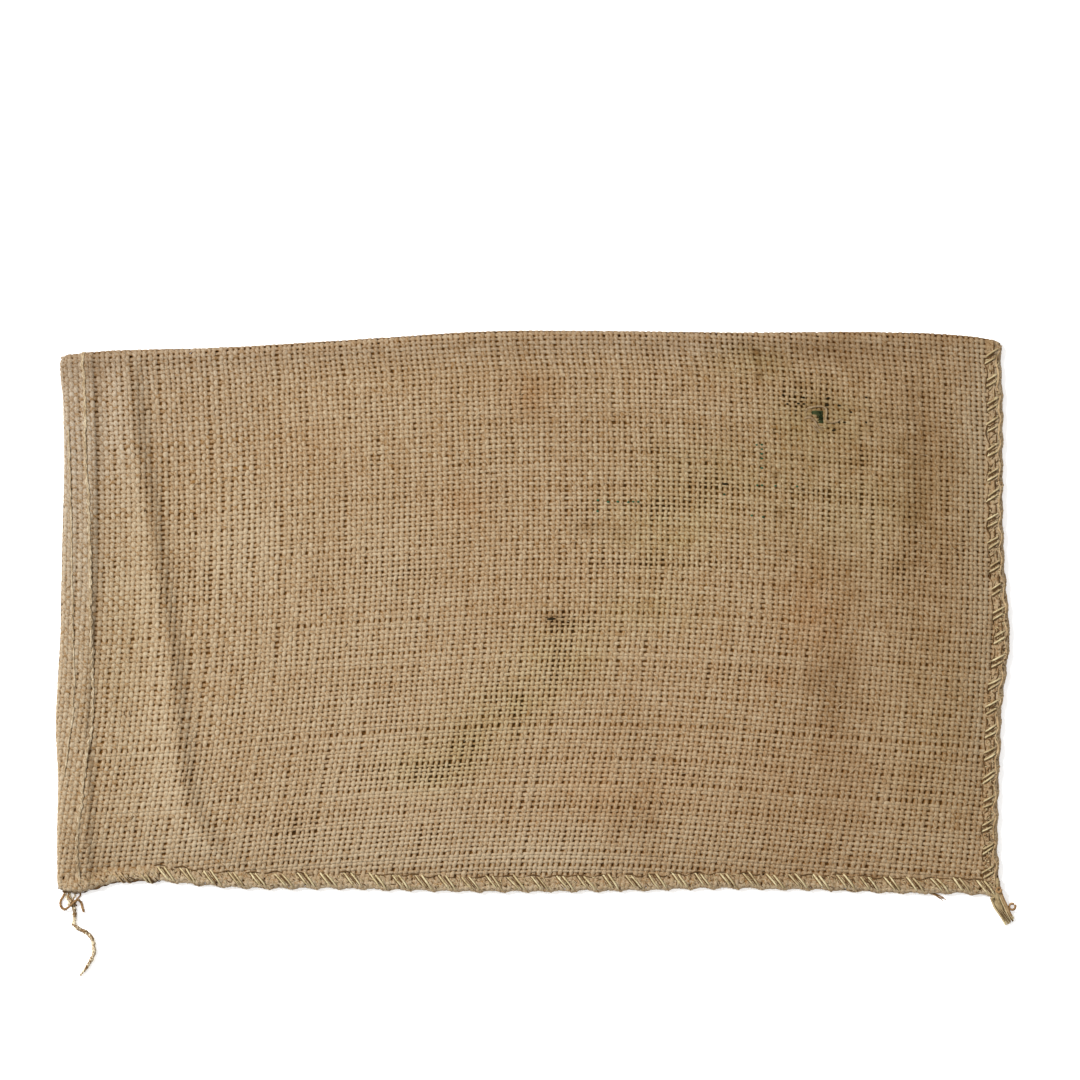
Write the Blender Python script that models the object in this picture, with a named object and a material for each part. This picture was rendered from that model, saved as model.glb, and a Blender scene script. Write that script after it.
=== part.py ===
"""A small burlap sack lying empty on its back, mouth towards -X.

One cut of jute cloth is folded along +Y, overcast down the side seam (-Y) and
across the bottom seam (+X), and hemmed round its open mouth (-X). It rests flat
on z = 0. Ends of the sewing twine stay on two corners. Metres, +Z up.
"""
import bpy
import bmesh
from math import exp, hypot, sqrt
from mathutils import Vector

# Driving dimensions
SACK_LENGTH = 0.500  # nominal, mouth to bottom seam
SACK_WIDTH = 0.295  # nominal, side seam to fold
PLY = 0.0014  # one thickness of cloth
POCKET_GAP = 0.0088  # clear height inside where the sack stands fullest

HEM_WIDTH = 0.0178
HEM_OUTER_STEP = 0.0010  # how far the turned hem stands above the panel
HEM_INNER_STEP = 0.0007  # and into the pocket
HEM_VALLEY_DEPTH = 0.0008
HEM_VALLEY_WIDTH = 0.0035
LIP_ROUNDING = 0.0016

SEAM_WIDTH = 0.0078
SEAM_HEIGHT = 0.0048
SEAM_EDGE_HEIGHT = 0.0021  # height of the seam's outermost line
SEAM_UNDERCUT = 0.0012  # how far inside that line it meets the surface
FOLD_RADIUS = 0.0050
FOLD_EDGE_HEIGHT = 0.0036
FOLD_UNDERCUT = 0.0026
FOLD_FULLNESS = 0.64  # share of the gap that the bend of the fold keeps open
SEAM_PULL = 0.026  # over which the panel climbs away from a seam
FOLD_SLOPE = 0.040
CORNER_RADIUS = 0.0045

POCKET_SEAM_INSET = SEAM_WIDTH + 0.0022
POCKET_FOLD_INSET = 0.0034
POCKET_LEAST_GAP = 0.0006
MOUTH_OVERRUN = 0.012  # how far the pocket's cutter reaches out of the mouth

TWINE_DIAMETER = 0.0018
YARN_DIAMETER = 0.0010
STUB_DIAMETERS = (0.0036, 0.0040, 0.0046, 0.0054, 0.0062, 0.0064)

# The four edges as laid out, each as (along, across): the cloth's real waver.
FOLD_EDGE = (
    (-0.2505, 0.1365), (-0.2242, 0.1391), (-0.1712, 0.1405), (-0.1182, 0.1434),
    (-0.0784, 0.1460), (-0.0254, 0.1492), (0.0276, 0.1497), (0.1071, 0.1487),
    (0.1866, 0.1489), (0.2263, 0.1471), (0.2480, 0.1442),
)
SIDE_SEAM_EDGE = (
    (-0.2523, -0.1450), (-0.2465, -0.1478), (-0.2348, -0.1465), (-0.2215, -0.1424),
    (-0.1977, -0.1418), (-0.1579, -0.1450), (-0.1049, -0.1455), (-0.0254, -0.1471),
    (0.0541, -0.1465), (0.0938, -0.1455), (0.1601, -0.1465), (0.1998, -0.1481),
    (0.2263, -0.1481), (0.2475, -0.1504),
)
MOUTH_EDGE = (
    (-0.1450, -0.2523), (-0.1147, -0.2520), (-0.0882, -0.2512), (-0.0617, -0.2523),
    (-0.0405, -0.2518), (-0.0140, -0.2502), (0.0284, -0.2491), (0.0496, -0.2486),
    (0.0814, -0.2480), (0.1132, -0.2486), (0.1264, -0.2502), (0.1365, -0.2505),
)
BOTTOM_SEAM_EDGE = (
    (-0.1504, 0.2475), (-0.1359, 0.2465), (-0.1147, 0.2459), (-0.0776, 0.2470),
    (-0.0458, 0.2486), (-0.0299, 0.2507), (-0.0140, 0.2523), (0.0125, 0.2507),
    (0.0337, 0.2491), (0.0602, 0.2486), (0.1132, 0.2486), (0.1291, 0.2475),
    (0.1442, 0.2480),
)

# The long crease beside the hem: (across, along), mouth side first going down.
CREASE_LINE = (
    (-0.1400, -0.1450), (-0.1333, -0.1520), (-0.1240, -0.1660), (-0.1079, -0.1776),
    (-0.0941, -0.1829), (-0.0633, -0.1871), (-0.0337, -0.1897), (-0.0061, -0.1935),
    (0.0135, -0.1966), (0.0368, -0.2003), (0.0676, -0.2046), (0.0909, -0.2094),
    (0.1253, -0.2125),
)
CREASE_HEIGHT = 0.0024
CREASE_RISE = 0.013  # width of the slope on the mouth's side
CREASE_DROP = 0.0034  # width of the steep slope beyond the ridge
CREASE_DIP = 0.0007

# Soft hollows and swells of the upper panel:
# (along, across, half length, half width, height)
SWELLS = (
    (0.207, 0.068, 0.009, 0.060, -0.0013),
    (0.165, -0.020, 0.022, 0.070, -0.0008),
    (0.066, -0.085, 0.012, 0.040, -0.0010),
    (-0.028, -0.112, 0.012, 0.028, -0.0008),
    (0.030, 0.062, 0.060, 0.020, -0.0005),
    (-0.090, 0.010, 0.050, 0.060, 0.0007),
    (0.120, 0.030, 0.030, 0.045, 0.0006),
)

# Routes of the loose ends, as (along, across), each from its corner outwards.
TWINE_ROUTE = (
    (-0.2449, -0.1512), (-0.2440, -0.1538), (-0.2429, -0.1574), (-0.2429, -0.1612),
    (-0.2431, -0.1644), (-0.2411, -0.1668), (-0.2381, -0.1681), (-0.2351, -0.1702),
    (-0.2334, -0.1729), (-0.2328, -0.1763), (-0.2327, -0.1799), (-0.2342, -0.1836),
    (-0.2366, -0.1876), (-0.2400, -0.1918),
)
YARN_ROUTE = (
    (-0.2490, -0.1500), (-0.2504, -0.1527), (-0.2499, -0.1556), (-0.2478, -0.1566),
    (-0.2450, -0.1546), (-0.2415, -0.1516), (-0.2395, -0.1530), (-0.2387, -0.1560),
    (-0.2380, -0.1582),
)
STUB_ROUTE = (
    (0.2462, -0.1545), (0.2476, -0.1563), (0.2490, -0.1580), (0.2505, -0.1600),
    (0.2519, -0.1622), (0.2528, -0.1638),
)
YARN_CLEARANCE = 0.0004  # between the yarn and the twine that it crosses

# Spacing of the modelling lines
LINE_STEP = 0.0078
ROW_STEP = 0.0112
CREASE_STEP = 0.0031
POCKET_STEP = 0.0110
POCKET_ROW_STEP = 0.0130

BURLAP_COLOUR = (0.380, 0.262, 0.145, 1.0)
TWINE_COLOUR = (0.560, 0.440, 0.290, 1.0)
YARN_COLOUR = (0.270, 0.165, 0.080, 1.0)


def smooth(value):
    """0 below 0, 1 above 1, and a soft S between."""
    value = min(max(value, 0.0), 1.0)
    return value * value * (3.0 - 2.0 * value)


def round_rise(value):
    """A quarter circle: 0 at 0, steep at first, 1 from 1 on."""
    value = min(max(value, 0.0), 1.0)
    return sqrt(1.0 - (1.0 - value) ** 2)


def through(points, at):
    """Read a smooth curve through (position, value) points."""
    if at <= points[0][0]:
        return points[0][1]
    if at >= points[-1][0]:
        return points[-1][1]
    last = len(points) - 1
    k = max(i for i in range(last) if points[i][0] <= at)
    (x0, y0), (x1, y1) = points[k], points[k + 1]
    before, after = points[max(k - 1, 0)], points[min(k + 2, last)]
    slope0 = (y1 - before[1]) / (x1 - before[0])
    slope1 = (after[1] - y0) / (after[0] - x0)
    width = x1 - x0
    u = (at - x0) / width
    return (
        y0 * (1 - u) ** 2 * (1 + 2 * u)
        + slope0 * width * u * (1 - u) ** 2
        + y1 * u * u * (3 - 2 * u)
        - slope1 * width * u * u * (1 - u)
    )


def lerp(a, b, u):
    return a + (b - a) * u


def laid_out(along, across):
    """Place a point of the flat cloth, measured from the mouth and the side seam."""
    s = min(max(along / SACK_LENGTH, 0.0), 1.0)
    t = min(max(across / SACK_WIDTH, 0.0), 1.0)
    left_x, right_x = MOUTH_EDGE[0][1], BOTTOM_SEAM_EDGE[0][1]
    left_top_x, right_top_x = MOUTH_EDGE[-1][1], BOTTOM_SEAM_EDGE[-1][1]
    x_low, x_high = lerp(left_x, right_x, s), lerp(left_top_x, right_top_x, s)
    y_low, y_high = through(SIDE_SEAM_EDGE, x_low), through(FOLD_EDGE, x_high)
    y_left = lerp(SIDE_SEAM_EDGE[0][1], FOLD_EDGE[0][1], t)
    y_right = lerp(SIDE_SEAM_EDGE[-1][1], FOLD_EDGE[-1][1], t)
    x_left, x_right = through(MOUTH_EDGE, y_left), through(BOTTOM_SEAM_EDGE, y_right)
    x = lerp(x_left, x_right, s)
    y = lerp(y_low, y_high, t)
    return x + min(along, 0.0), y


def rounded_corner(along, across):
    """Pull the points near each corner of the flat cloth onto a round corner."""
    from_end = min(along, SACK_LENGTH - along)
    from_side = min(across, SACK_WIDTH - across)
    if from_end >= CORNER_RADIUS or from_side >= CORNER_RADIUS:
        return along, across
    a, b = CORNER_RADIUS - from_end, CORNER_RADIUS - from_side
    pull = max(a, b) / max(hypot(a, b), 1e-9)
    new_end, new_side = CORNER_RADIUS - a * pull, CORNER_RADIUS - b * pull
    along = new_end if along < SACK_LENGTH / 2 else SACK_LENGTH - new_end
    across = new_side if across < SACK_WIDTH / 2 else SACK_WIDTH - new_side
    return along, across


def hem_share(along):
    """1 on the hem, 0 past it."""
    return 1.0 - smooth((along - HEM_WIDTH + 0.0010) / 0.0020)


def pocket_gap(along, across):
    """Clear height between the two panels."""
    from_seam = min(across, SACK_LENGTH - along) - SEAM_WIDTH
    side = 1.0 - exp(-max(across - SEAM_WIDTH, 0.0) / SEAM_PULL)
    bottom = 1.0 - exp(-max(SACK_LENGTH - along - SEAM_WIDTH, 0.0) / SEAM_PULL)
    from_fold = SACK_WIDTH - across
    fold = FOLD_FULLNESS * round_rise(from_fold / FOLD_RADIUS)
    fold += (1.0 - FOLD_FULLNESS) * smooth(from_fold / FOLD_SLOPE)
    return POCKET_GAP * side * bottom * fold if from_seam > 0 else 0.0


def crease(x, y):
    """Height of the long crease: a slow rise, a ridge and a steep fall."""
    offset = x - through(CREASE_LINE, y)
    fade = smooth((y - CREASE_LINE[0][0]) / 0.02) * smooth((0.140 - y) / 0.02)
    if offset < 0.0:
        return CREASE_HEIGHT * fade * exp(-((offset / CREASE_RISE) ** 2))
    fall = exp(-((offset / CREASE_DROP) ** 2))
    dip = (offset / CREASE_RISE) * exp(1.0 - offset / CREASE_DROP / 2.0)
    return fade * (CREASE_HEIGHT * fall - CREASE_DIP * min(dip, 1.0) * (1.0 - fall))


def swells(x, y):
    total = 0.0
    for along, across, half_length, half_width, height in SWELLS:
        away = ((x - along) / half_length) ** 2 + ((y - across) / half_width) ** 2
        total += height * exp(-away)
    return total


def seam_roll(from_edge):
    """Extra height of the rolled, overcast band over two plain plies."""
    if from_edge > SEAM_WIDTH:
        return 0.0
    half = SEAM_WIDTH / 2
    return (SEAM_HEIGHT - 2 * PLY) * round_rise((SEAM_WIDTH - from_edge) / half)


def upper_surface(along, across):
    """Top face of the upper panel over a point of the flat cloth."""
    x, y = laid_out(along, across)
    open_share = min(pocket_gap(along, across) / POCKET_GAP, 1.0)
    from_seam = min(across, SACK_LENGTH - along)
    valley = exp(-(((along - HEM_WIDTH - HEM_VALLEY_WIDTH) / HEM_VALLEY_WIDTH) ** 2))
    top = 2 * PLY + pocket_gap(along, across) + seam_roll(from_seam)
    top += hem_share(along) * HEM_OUTER_STEP
    top += open_share * (crease(x, y) + swells(x, y) - valley * HEM_VALLEY_DEPTH)
    if from_seam < SEAM_WIDTH / 2:
        share = round_rise(2 * from_seam / SEAM_WIDTH)
        top = lerp(SEAM_EDGE_HEIGHT, top, share)
    from_fold = SACK_WIDTH - across
    if from_fold < FOLD_RADIUS:
        edge = min(FOLD_EDGE_HEIGHT, top)
        top = lerp(edge, top, round_rise(from_fold / FOLD_RADIUS))
    if along < LIP_ROUNDING:
        top -= 0.6 * LIP_ROUNDING * (1.0 - round_rise(along / LIP_ROUNDING))
    return top


def pocket_roof(along, across):
    """Underside of the upper panel."""
    thickness = PLY + hem_share(along) * (HEM_OUTER_STEP + HEM_INNER_STEP)
    roof = upper_surface(max(along, LIP_ROUNDING), across) - thickness
    return max(roof, pocket_floor(along) + POCKET_LEAST_GAP)


def pocket_floor(along):
    """Top face of the lower panel."""
    return PLY + hem_share(along) * (HEM_OUTER_STEP + HEM_INNER_STEP)


def stations(near, far, end, step):
    """Line positions: close ones at both edges and even ones between."""
    start, stop = near[-1], end - far[-1]
    count = max(1, round((stop - start) / step))
    even = [lerp(start, stop, i / count) for i in range(1, count)]
    return list(near) + even + [end - gap for gap in reversed(far)]


def millimetres(*values):
    return [value / 1000.0 for value in values]


def two_sided_block(name, columns, rows, place_top, place_bottom):
    """A closed block from a grid: its own upper face and a flat lower one."""
    bm = bmesh.new()
    across_count, along_count = len(rows) - 1, len(columns) - 1
    bmesh.ops.create_grid(bm, x_segments=along_count, y_segments=across_count, size=0.5)
    lower = {}
    for vert in bm.verts:
        i = round((vert.co.x + 0.5) * along_count)
        j = round((vert.co.y + 0.5) * across_count)
        lower[vert] = (columns[i], rows[j])
    result = bmesh.ops.extrude_face_region(bm, geom=bm.faces[:], use_keep_orig=True)
    upper = [item for item in result["geom"] if isinstance(item, bmesh.types.BMVert)]
    for vert in upper:
        i = round((vert.co.x + 0.5) * along_count)
        j = round((vert.co.y + 0.5) * across_count)
        vert.co = place_top(columns[i], rows[j])
    for vert, (along, across) in lower.items():
        vert.co = place_bottom(along, across)
    bmesh.ops.recalc_face_normals(bm, faces=bm.faces[:])
    flat = [face for face in bm.faces if all(vert in lower for vert in face.verts)]
    flat_edges = list({edge for face in flat for edge in face.edges})
    bmesh.ops.dissolve_limit(bm, angle_limit=0.001, verts=[], edges=flat_edges)
    mesh = bpy.data.meshes.new(name)
    bm.to_mesh(mesh)
    bm.free()
    return bpy.data.objects.new(name, mesh)


def cloth_top(along, across):
    along, across = rounded_corner(along, across)
    x, y = laid_out(along, across)
    return Vector((x, y, upper_surface(along, across)))


def cloth_underside(along, across):
    """The same point on the surface below, drawn in where the edges roll up."""
    along = min(max(along, SEAM_UNDERCUT / 2), SACK_LENGTH - SEAM_UNDERCUT)
    across = min(max(across, SEAM_UNDERCUT), SACK_WIDTH - FOLD_UNDERCUT)
    x, y = laid_out(*rounded_corner(along, across))
    return Vector((x, y, 0.0))


def cloth_block():
    columns = millimetres(0, 0.7, 1.6, 5.0, 9.5, 13.5, 16.6, 17.9, 19.4, 21.5, 24.5)
    crease_end = 0.088
    count = round((crease_end - columns[-1]) / CREASE_STEP)
    start = columns[-1]
    columns += [lerp(start, crease_end, i / count) for i in range(1, count + 1)]
    far = millimetres(0, 0.5, 1.6, 3.9, 6.2, 7.3, 7.8, 10.0, 15.0)
    columns = stations(columns, far, SACK_LENGTH, LINE_STEP)
    near = millimetres(0, 0.5, 1.6, 3.9, 6.2, 7.3, 7.8, 10.0, 15.0, 22.0)
    fold_lines = millimetres(0, 0.3, 1.2, 2.8, 5.0, 9.0, 16.0)
    rows = stations(near, fold_lines, SACK_WIDTH, ROW_STEP)
    return two_sided_block("sack_cloth", columns, rows, cloth_top, cloth_underside)


def pocket_top(along, across):
    x, y = laid_out(along, across)
    return Vector((x, y, pocket_roof(along, across)))


def pocket_bottom(along, across):
    x, y = laid_out(along, across)
    return Vector((x, y, pocket_floor(along)))


def pocket_block():
    """The hollow of the sack, running out through the mouth."""
    near = [-MOUTH_OVERRUN] + millimetres(0, 9.0, 16.8, 18.8, 22.0, 27.0)
    start, crease_end = near[-1], 0.088
    count = round((crease_end - start) / (1.6 * CREASE_STEP))
    near += [lerp(start, crease_end, i / count) for i in range(1, count + 1)]
    end = SACK_LENGTH - POCKET_SEAM_INSET
    columns = stations(near, millimetres(0, 5.0, 14.0), end, POCKET_STEP)
    first, last = POCKET_SEAM_INSET, SACK_WIDTH - POCKET_FOLD_INSET
    rows = stations([first, first + 0.006], millimetres(0, 4.0), last, POCKET_ROW_STEP)
    return two_sided_block("pocket_hollow", columns, rows, pocket_top, pocket_bottom)


def principled(name, colour, roughness):
    material = bpy.data.materials.new(name)
    material.use_nodes = True
    shader = material.node_tree.nodes["Principled BSDF"]
    shader.inputs["Base Color"].default_value = colour
    shader.inputs["Roughness"].default_value = roughness
    shader.inputs["Metallic"].default_value = 0.0
    material.diffuse_color = colour
    return material


def smooth_route(points, per_span):
    """Points of a smooth curve through a route's points."""
    route = []
    for k in range(len(points) - 1):
        p0 = Vector(points[max(k - 1, 0)])
        p1, p2 = Vector(points[k]), Vector(points[k + 1])
        p3 = Vector(points[min(k + 2, len(points) - 1)])
        for step in range(per_span):
            u = step / per_span
            along = (p2 - p0) * u + (2 * p0 - 5 * p1 + 4 * p2 - p3) * u * u
            along += (3 * p1 - p0 - 3 * p2 + p3) * u ** 3
            route.append(p1 + along / 2)
    route.append(Vector(points[-1]))
    return route


def loose_end(name, route, radii, thickest, material):
    """A round end lying along its route, thickest at each point times its share."""
    curve = bpy.data.curves.new(name, "CURVE")
    curve.dimensions = "3D"
    curve.bevel_depth = thickest / 2
    curve.bevel_resolution = 2
    curve.use_fill_caps = True
    spline = curve.splines.new("POLY")
    spline.points.add(len(route) - 1)
    for point, place, share in zip(spline.points, route, radii):
        point.co = (place.x, place.y, place.z, 1.0)
        point.radius = share
    curve.materials.append(material)
    return bpy.data.objects.new(name, curve)


def twine_end(material):
    height = TWINE_DIAMETER / 2
    points = [(x, y, height) for x, y in TWINE_ROUTE]
    route = smooth_route(points, 2)
    return loose_end("mouth_twine", route, [1.0] * len(route), TWINE_DIAMETER, material)


def yarn_end(material):
    """The thin yarn lies on the surface and hops over the twine."""
    low = YARN_DIAMETER / 2
    over = TWINE_DIAMETER + YARN_CLEARANCE + low
    rising, falling = lerp(low, over, 0.7), lerp(low, over, 0.9)
    heights = (low, low, low, rising, over, falling, low, low, low)
    points = [(x, y, z) for (x, y), z in zip(YARN_ROUTE, heights)]
    route = smooth_route(points, 3)
    for place in route:
        place.z = max(place.z, low)
    return loose_end("mouth_yarn", route, [1.0] * len(route), YARN_DIAMETER, material)


def seam_stub(material):
    thickest = max(STUB_DIAMETERS)
    count = len(STUB_ROUTE) - 1
    points = [(x, y, size / 2) for (x, y), size in zip(STUB_ROUTE, STUB_DIAMETERS)]
    route = smooth_route(points, 3)
    radii = []
    for k in range(len(route)):
        at = k * count / (len(route) - 1)
        low = min(int(at), count - 1)
        size = lerp(STUB_DIAMETERS[low], STUB_DIAMETERS[low + 1], at - low)
        radii.append(size / thickest)
    for place, share in zip(route, radii):
        place.z = share * thickest / 2
    return loose_end("corner_stub", route, radii, thickest, material)


def main():
    for old in list(bpy.data.objects):
        bpy.data.objects.remove(old, do_unlink=True)
    sack = bpy.data.collections.new("burlap_sack")
    cutters = bpy.data.collections.new("cutters")
    bpy.context.scene.collection.children.link(sack)
    bpy.context.scene.collection.children.link(cutters)

    cloth = cloth_block()
    cloth.data.materials.append(principled("burlap", BURLAP_COLOUR, 0.95))
    sack.objects.link(cloth)
    hollow = pocket_block()
    hollow.hide_render = True
    hollow.display_type = "WIRE"
    cutters.objects.link(hollow)
    cut = cloth.modifiers.new("pocket", "BOOLEAN")
    cut.operation = "DIFFERENCE"
    cut.solver = "EXACT"
    cut.object = hollow

    sack.objects.link(twine_end(principled("twine", TWINE_COLOUR, 0.85)))
    sack.objects.link(yarn_end(principled("loose_yarn", YARN_COLOUR, 0.90)))
    sack.objects.link(seam_stub(principled("seam_twine", TWINE_COLOUR, 0.90)))


main()
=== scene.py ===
"""A small burlap sack laid empty on a pale floor, dressed round its solids.

The cloth's plies are a dark hollow shell, painted as the shade seen between the yarns.
Real yarns are woven over it, run round the edges and into the mouth. Sewing, loose ends, flaws and
fibres lie on them.
Metres, +Z up, the mouth towards -X.
"""

from math import pi, radians

import bpy
import numpy as np
from bpy.props import FloatProperty, FloatVectorProperty, PointerProperty
from bpy.types import NodeSocket, Operator, Panel, PropertyGroup
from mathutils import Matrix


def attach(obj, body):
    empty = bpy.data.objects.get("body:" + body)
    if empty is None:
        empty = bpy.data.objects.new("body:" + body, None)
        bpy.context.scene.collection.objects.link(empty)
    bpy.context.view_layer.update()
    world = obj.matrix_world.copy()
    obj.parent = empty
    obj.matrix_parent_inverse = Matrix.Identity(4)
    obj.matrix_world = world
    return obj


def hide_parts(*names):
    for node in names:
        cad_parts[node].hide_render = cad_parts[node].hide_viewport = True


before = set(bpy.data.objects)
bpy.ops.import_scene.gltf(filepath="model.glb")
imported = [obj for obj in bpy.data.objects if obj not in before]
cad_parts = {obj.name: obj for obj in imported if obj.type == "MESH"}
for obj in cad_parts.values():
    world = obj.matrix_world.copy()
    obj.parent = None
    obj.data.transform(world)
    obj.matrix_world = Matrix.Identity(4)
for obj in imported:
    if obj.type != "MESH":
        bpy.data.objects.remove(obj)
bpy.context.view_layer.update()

bl_info = {
    "name": "Burlap sack",
    "version": (1, 0, 0),
    "blender": (4, 5, 0),
    "location": "View3D > Sidebar > Sack",
    "description": "Weaves, sews and lays out a small burlap sack round its solids",
    "category": "Add Mesh",
}

MM = 0.001

# ------------------------------------------------------- form, as the solids have it

SACK_LENGTH = 0.500
SACK_WIDTH = 0.295
PLY = 0.0014
POCKET_GAP = 0.0088
HEM_WIDTH = 0.0178
HEM_OUTER_STEP = 0.0010
HEM_INNER_STEP = 0.0007
HEM_VALLEY_DEPTH = 0.0005
HEM_VALLEY_WIDTH = 0.0035
HEM_STEP_RUN = 0.0020
SEAM_WIDTH = 0.0078
SEAM_HEIGHT = 0.0048
SEAM_EDGE_HEIGHT = 0.0021
SEAM_UNDERCUT = 0.0012
SEAM_EDGE_RUN = 0.001
FOLD_RADIUS = 0.0050
FOLD_EDGE_HEIGHT = 0.0036
FOLD_UNDERCUT = 0.0026
FOLD_FULLNESS = 0.64
SEAM_PULL = 0.026
FOLD_SLOPE = 0.040
CORNER_RADIUS = 0.0045
POCKET_SEAM_INSET = SEAM_WIDTH + 0.0022
POCKET_FOLD_INSET = 0.0034
POCKET_LEAST_GAP = 0.0006

FOLD_EDGE = (
    (-0.2505, 0.1365), (-0.2242, 0.1391), (-0.1712, 0.1405), (-0.1182, 0.1434),
    (-0.0784, 0.1460), (-0.0254, 0.1492), (0.0276, 0.1497), (0.1071, 0.1487),
    (0.1866, 0.1489), (0.2263, 0.1471), (0.2480, 0.1442),
)
SIDE_SEAM_EDGE = (
    (-0.2523, -0.1450), (-0.2465, -0.1478), (-0.2348, -0.1465), (-0.2215, -0.1424),
    (-0.1977, -0.1418), (-0.1579, -0.1450), (-0.1049, -0.1455), (-0.0254, -0.1471),
    (0.0541, -0.1465), (0.0938, -0.1455), (0.1601, -0.1465), (0.1998, -0.1481),
    (0.2263, -0.1481), (0.2475, -0.1504),
)
MOUTH_EDGE = (
    (-0.1450, -0.2523), (-0.1147, -0.2520), (-0.0882, -0.2512), (-0.0617, -0.2523),
    (-0.0405, -0.2518), (-0.0140, -0.2502), (0.0284, -0.2491), (0.0496, -0.2486),
    (0.0814, -0.2480), (0.1132, -0.2486), (0.1264, -0.2502), (0.1365, -0.2505),
)
BOTTOM_SEAM_EDGE = (
    (-0.1504, 0.2475), (-0.1359, 0.2465), (-0.1147, 0.2459), (-0.0776, 0.2470),
    (-0.0458, 0.2486), (-0.0299, 0.2507), (-0.0140, 0.2523), (0.0125, 0.2507),
    (0.0337, 0.2491), (0.0602, 0.2486), (0.1132, 0.2486), (0.1291, 0.2475),
    (0.1442, 0.2480),
)
CREASE_LINE = (
    (-0.1400, -0.1450), (-0.1333, -0.1520), (-0.1240, -0.1660), (-0.1079, -0.1776),
    (-0.0941, -0.1829), (-0.0633, -0.1871), (-0.0337, -0.1897), (-0.0061, -0.1935),
    (0.0135, -0.1966), (0.0368, -0.2003), (0.0676, -0.2046), (0.0909, -0.2094),
    (0.1253, -0.2125),
)
CREASE_HEIGHT = 0.0021
CREASE_RISE = 0.013
CREASE_DROP = 0.0050
CREASE_DIP = 0.0007
SWELLS = (  # along, across, half length, half width, height
    (0.207, 0.068, 0.009, 0.060, -0.0013),
    (0.165, -0.020, 0.022, 0.070, -0.0008),
    (0.066, -0.085, 0.012, 0.040, -0.0010),
    (-0.028, -0.112, 0.012, 0.028, -0.0008),
    (0.030, 0.062, 0.060, 0.020, -0.0005),
    (-0.090, 0.010, 0.050, 0.060, 0.0007),
    (0.120, 0.030, 0.030, 0.045, 0.0006),
)

TWINE_DIAMETER = 0.0018
YARN_DIAMETER = 0.0010
TWINE_ROUTE = (
    (-0.2449, -0.1512), (-0.2440, -0.1538), (-0.2429, -0.1574), (-0.2429, -0.1612),
    (-0.2431, -0.1644), (-0.2411, -0.1668), (-0.2381, -0.1681), (-0.2351, -0.1702),
    (-0.2334, -0.1729), (-0.2328, -0.1763), (-0.2327, -0.1799), (-0.2342, -0.1836),
    (-0.2366, -0.1876), (-0.2400, -0.1918),
)
YARN_ROUTE = (
    (-0.2490, -0.1500), (-0.2504, -0.1527), (-0.2499, -0.1556), (-0.2478, -0.1566),
    (-0.2450, -0.1546), (-0.2415, -0.1516), (-0.2395, -0.1530), (-0.2387, -0.1560),
    (-0.2380, -0.1582),
)
STUB_ROUTE = (
    (0.2462, -0.1545), (0.2476, -0.1563), (0.2490, -0.1580), (0.2505, -0.1600),
    (0.2519, -0.1622), (0.2528, -0.1638),
)
STUB_OUTER = (
    (0.2474, -0.1462, 0.0042), (0.2488, -0.1502, 0.0036), (0.2510, -0.1549, 0.0030),
    (0.2532, -0.1598, 0.0022),
)
YARN_CLEARANCE = 0.0004
TWINE_TURN, YARN_TURN = 0.0052, 0.0030  # for one turn of their strands
TWINE_STRAND_RADIUS, TWINE_STRAND_OFFSET = 0.00062, 0.00056
YARN_STRAND_OFFSET = 0.00026
STUB_STRANDS = 19
STUB_LEVELS = (0.0009, 0.0022)  # heights of its two layers
STUB_WIDTH = ((0, 0.3, 0.7, 1), (0.0030, 0.0046, 0.0054, 0.0056))  # at shares of its length
STUB_FILLING = ((239.5, -146.8), (241.5, -144.4), (244.2, -143.0), (245.8, -140.0))  # in mm
CURL_RADIUS = 0.00066
LYING_HAIRS, EDGE_HAIRS = 240, 620
CURLS = (  # centre, start of turn, radius, low end, high end
    ((0.2538, -0.1552), 0.9, 0.0016, 0.0012, 0.0032),
    ((0.2465, -0.1462), 0.6, 0.0012, 0.0044, 0.0054),
)
TANGLE = (  # millimetres; the first is the twine's own root
    ((-246.2, -146.6, 1.2), (-245.6, -148.8, 1.0), (-244.9, -151.2, 0.9)),
    ((-247.6, -146.8, 1.4), (-247.2, -150.0, 1.0), (-245.6, -153.2, 2.2), (-243.4, -156.0, 0.6)),
    ((-243.2, -146.6, 1.2), (-242.6, -149.2, 0.6), (-244.4, -152.4, 2.4), (-246.6, -154.4, 0.6)),
    ((-240.6, -146.6, 1.2), (-239.8, -149.0, 0.5), (-241.6, -151.4, 0.5), (-242.8, -154.2, 2.2)),
    ((-245.0, -146.8, 1.0), (-246.2, -149.8, 1.8), (-244.2, -152.0, 2.6), (-241.8, -154.8, 0.6)),
)
TUFT_ROOT = np.array((207.5, -147.0, 1.0))
TUFT_MIDDLE = np.array((214.0, -149.0, 0.7))

# ------------------------------------------------------------------ weave and sewing

CROSS_PITCH = 0.002835  # between yarns that run across the sack, along Y
LONG_PITCH = 0.00257  # between yarns that run along the sack, along X
CROSS_FIRST, CROSS_COUNT = -0.2700, 191
LONG_FIRST, LONG_COUNT = -0.1520, 126
CROSS_STRAY, LONG_STRAY = 0.10, 0.13  # share of the pitch by which a yarn may be off its place
WANDER = 0.00026  # how far a yarn strays sideways over several crossings
JITTER = 0.00012  # the same from one crossing to the next
CROSS_UNEVEN, LONG_UNEVEN = 0.026, 0.055  # in width and tone from yarn to yarn
CROSS_TONE, LONG_TONE = -0.11, 0.12  # how deep each set's colour is, before its streaks
# The open values set the strength of the painted shade by the holes.
CROSS_OPEN, LONG_OPEN = 1.9, -1.0  # how far its sides darken by the holes away from the mouth
EVEN_TONE, EVEN_COVER = 0.140, 0.070  # how far the two sets draw level away from the mouth
EVEN_FROM, EVEN_RUN = -0.170, 0.120
COVER_RANGE = (0.42, 0.97)  # narrowest and widest share of its pitch that a yarn fills
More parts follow.
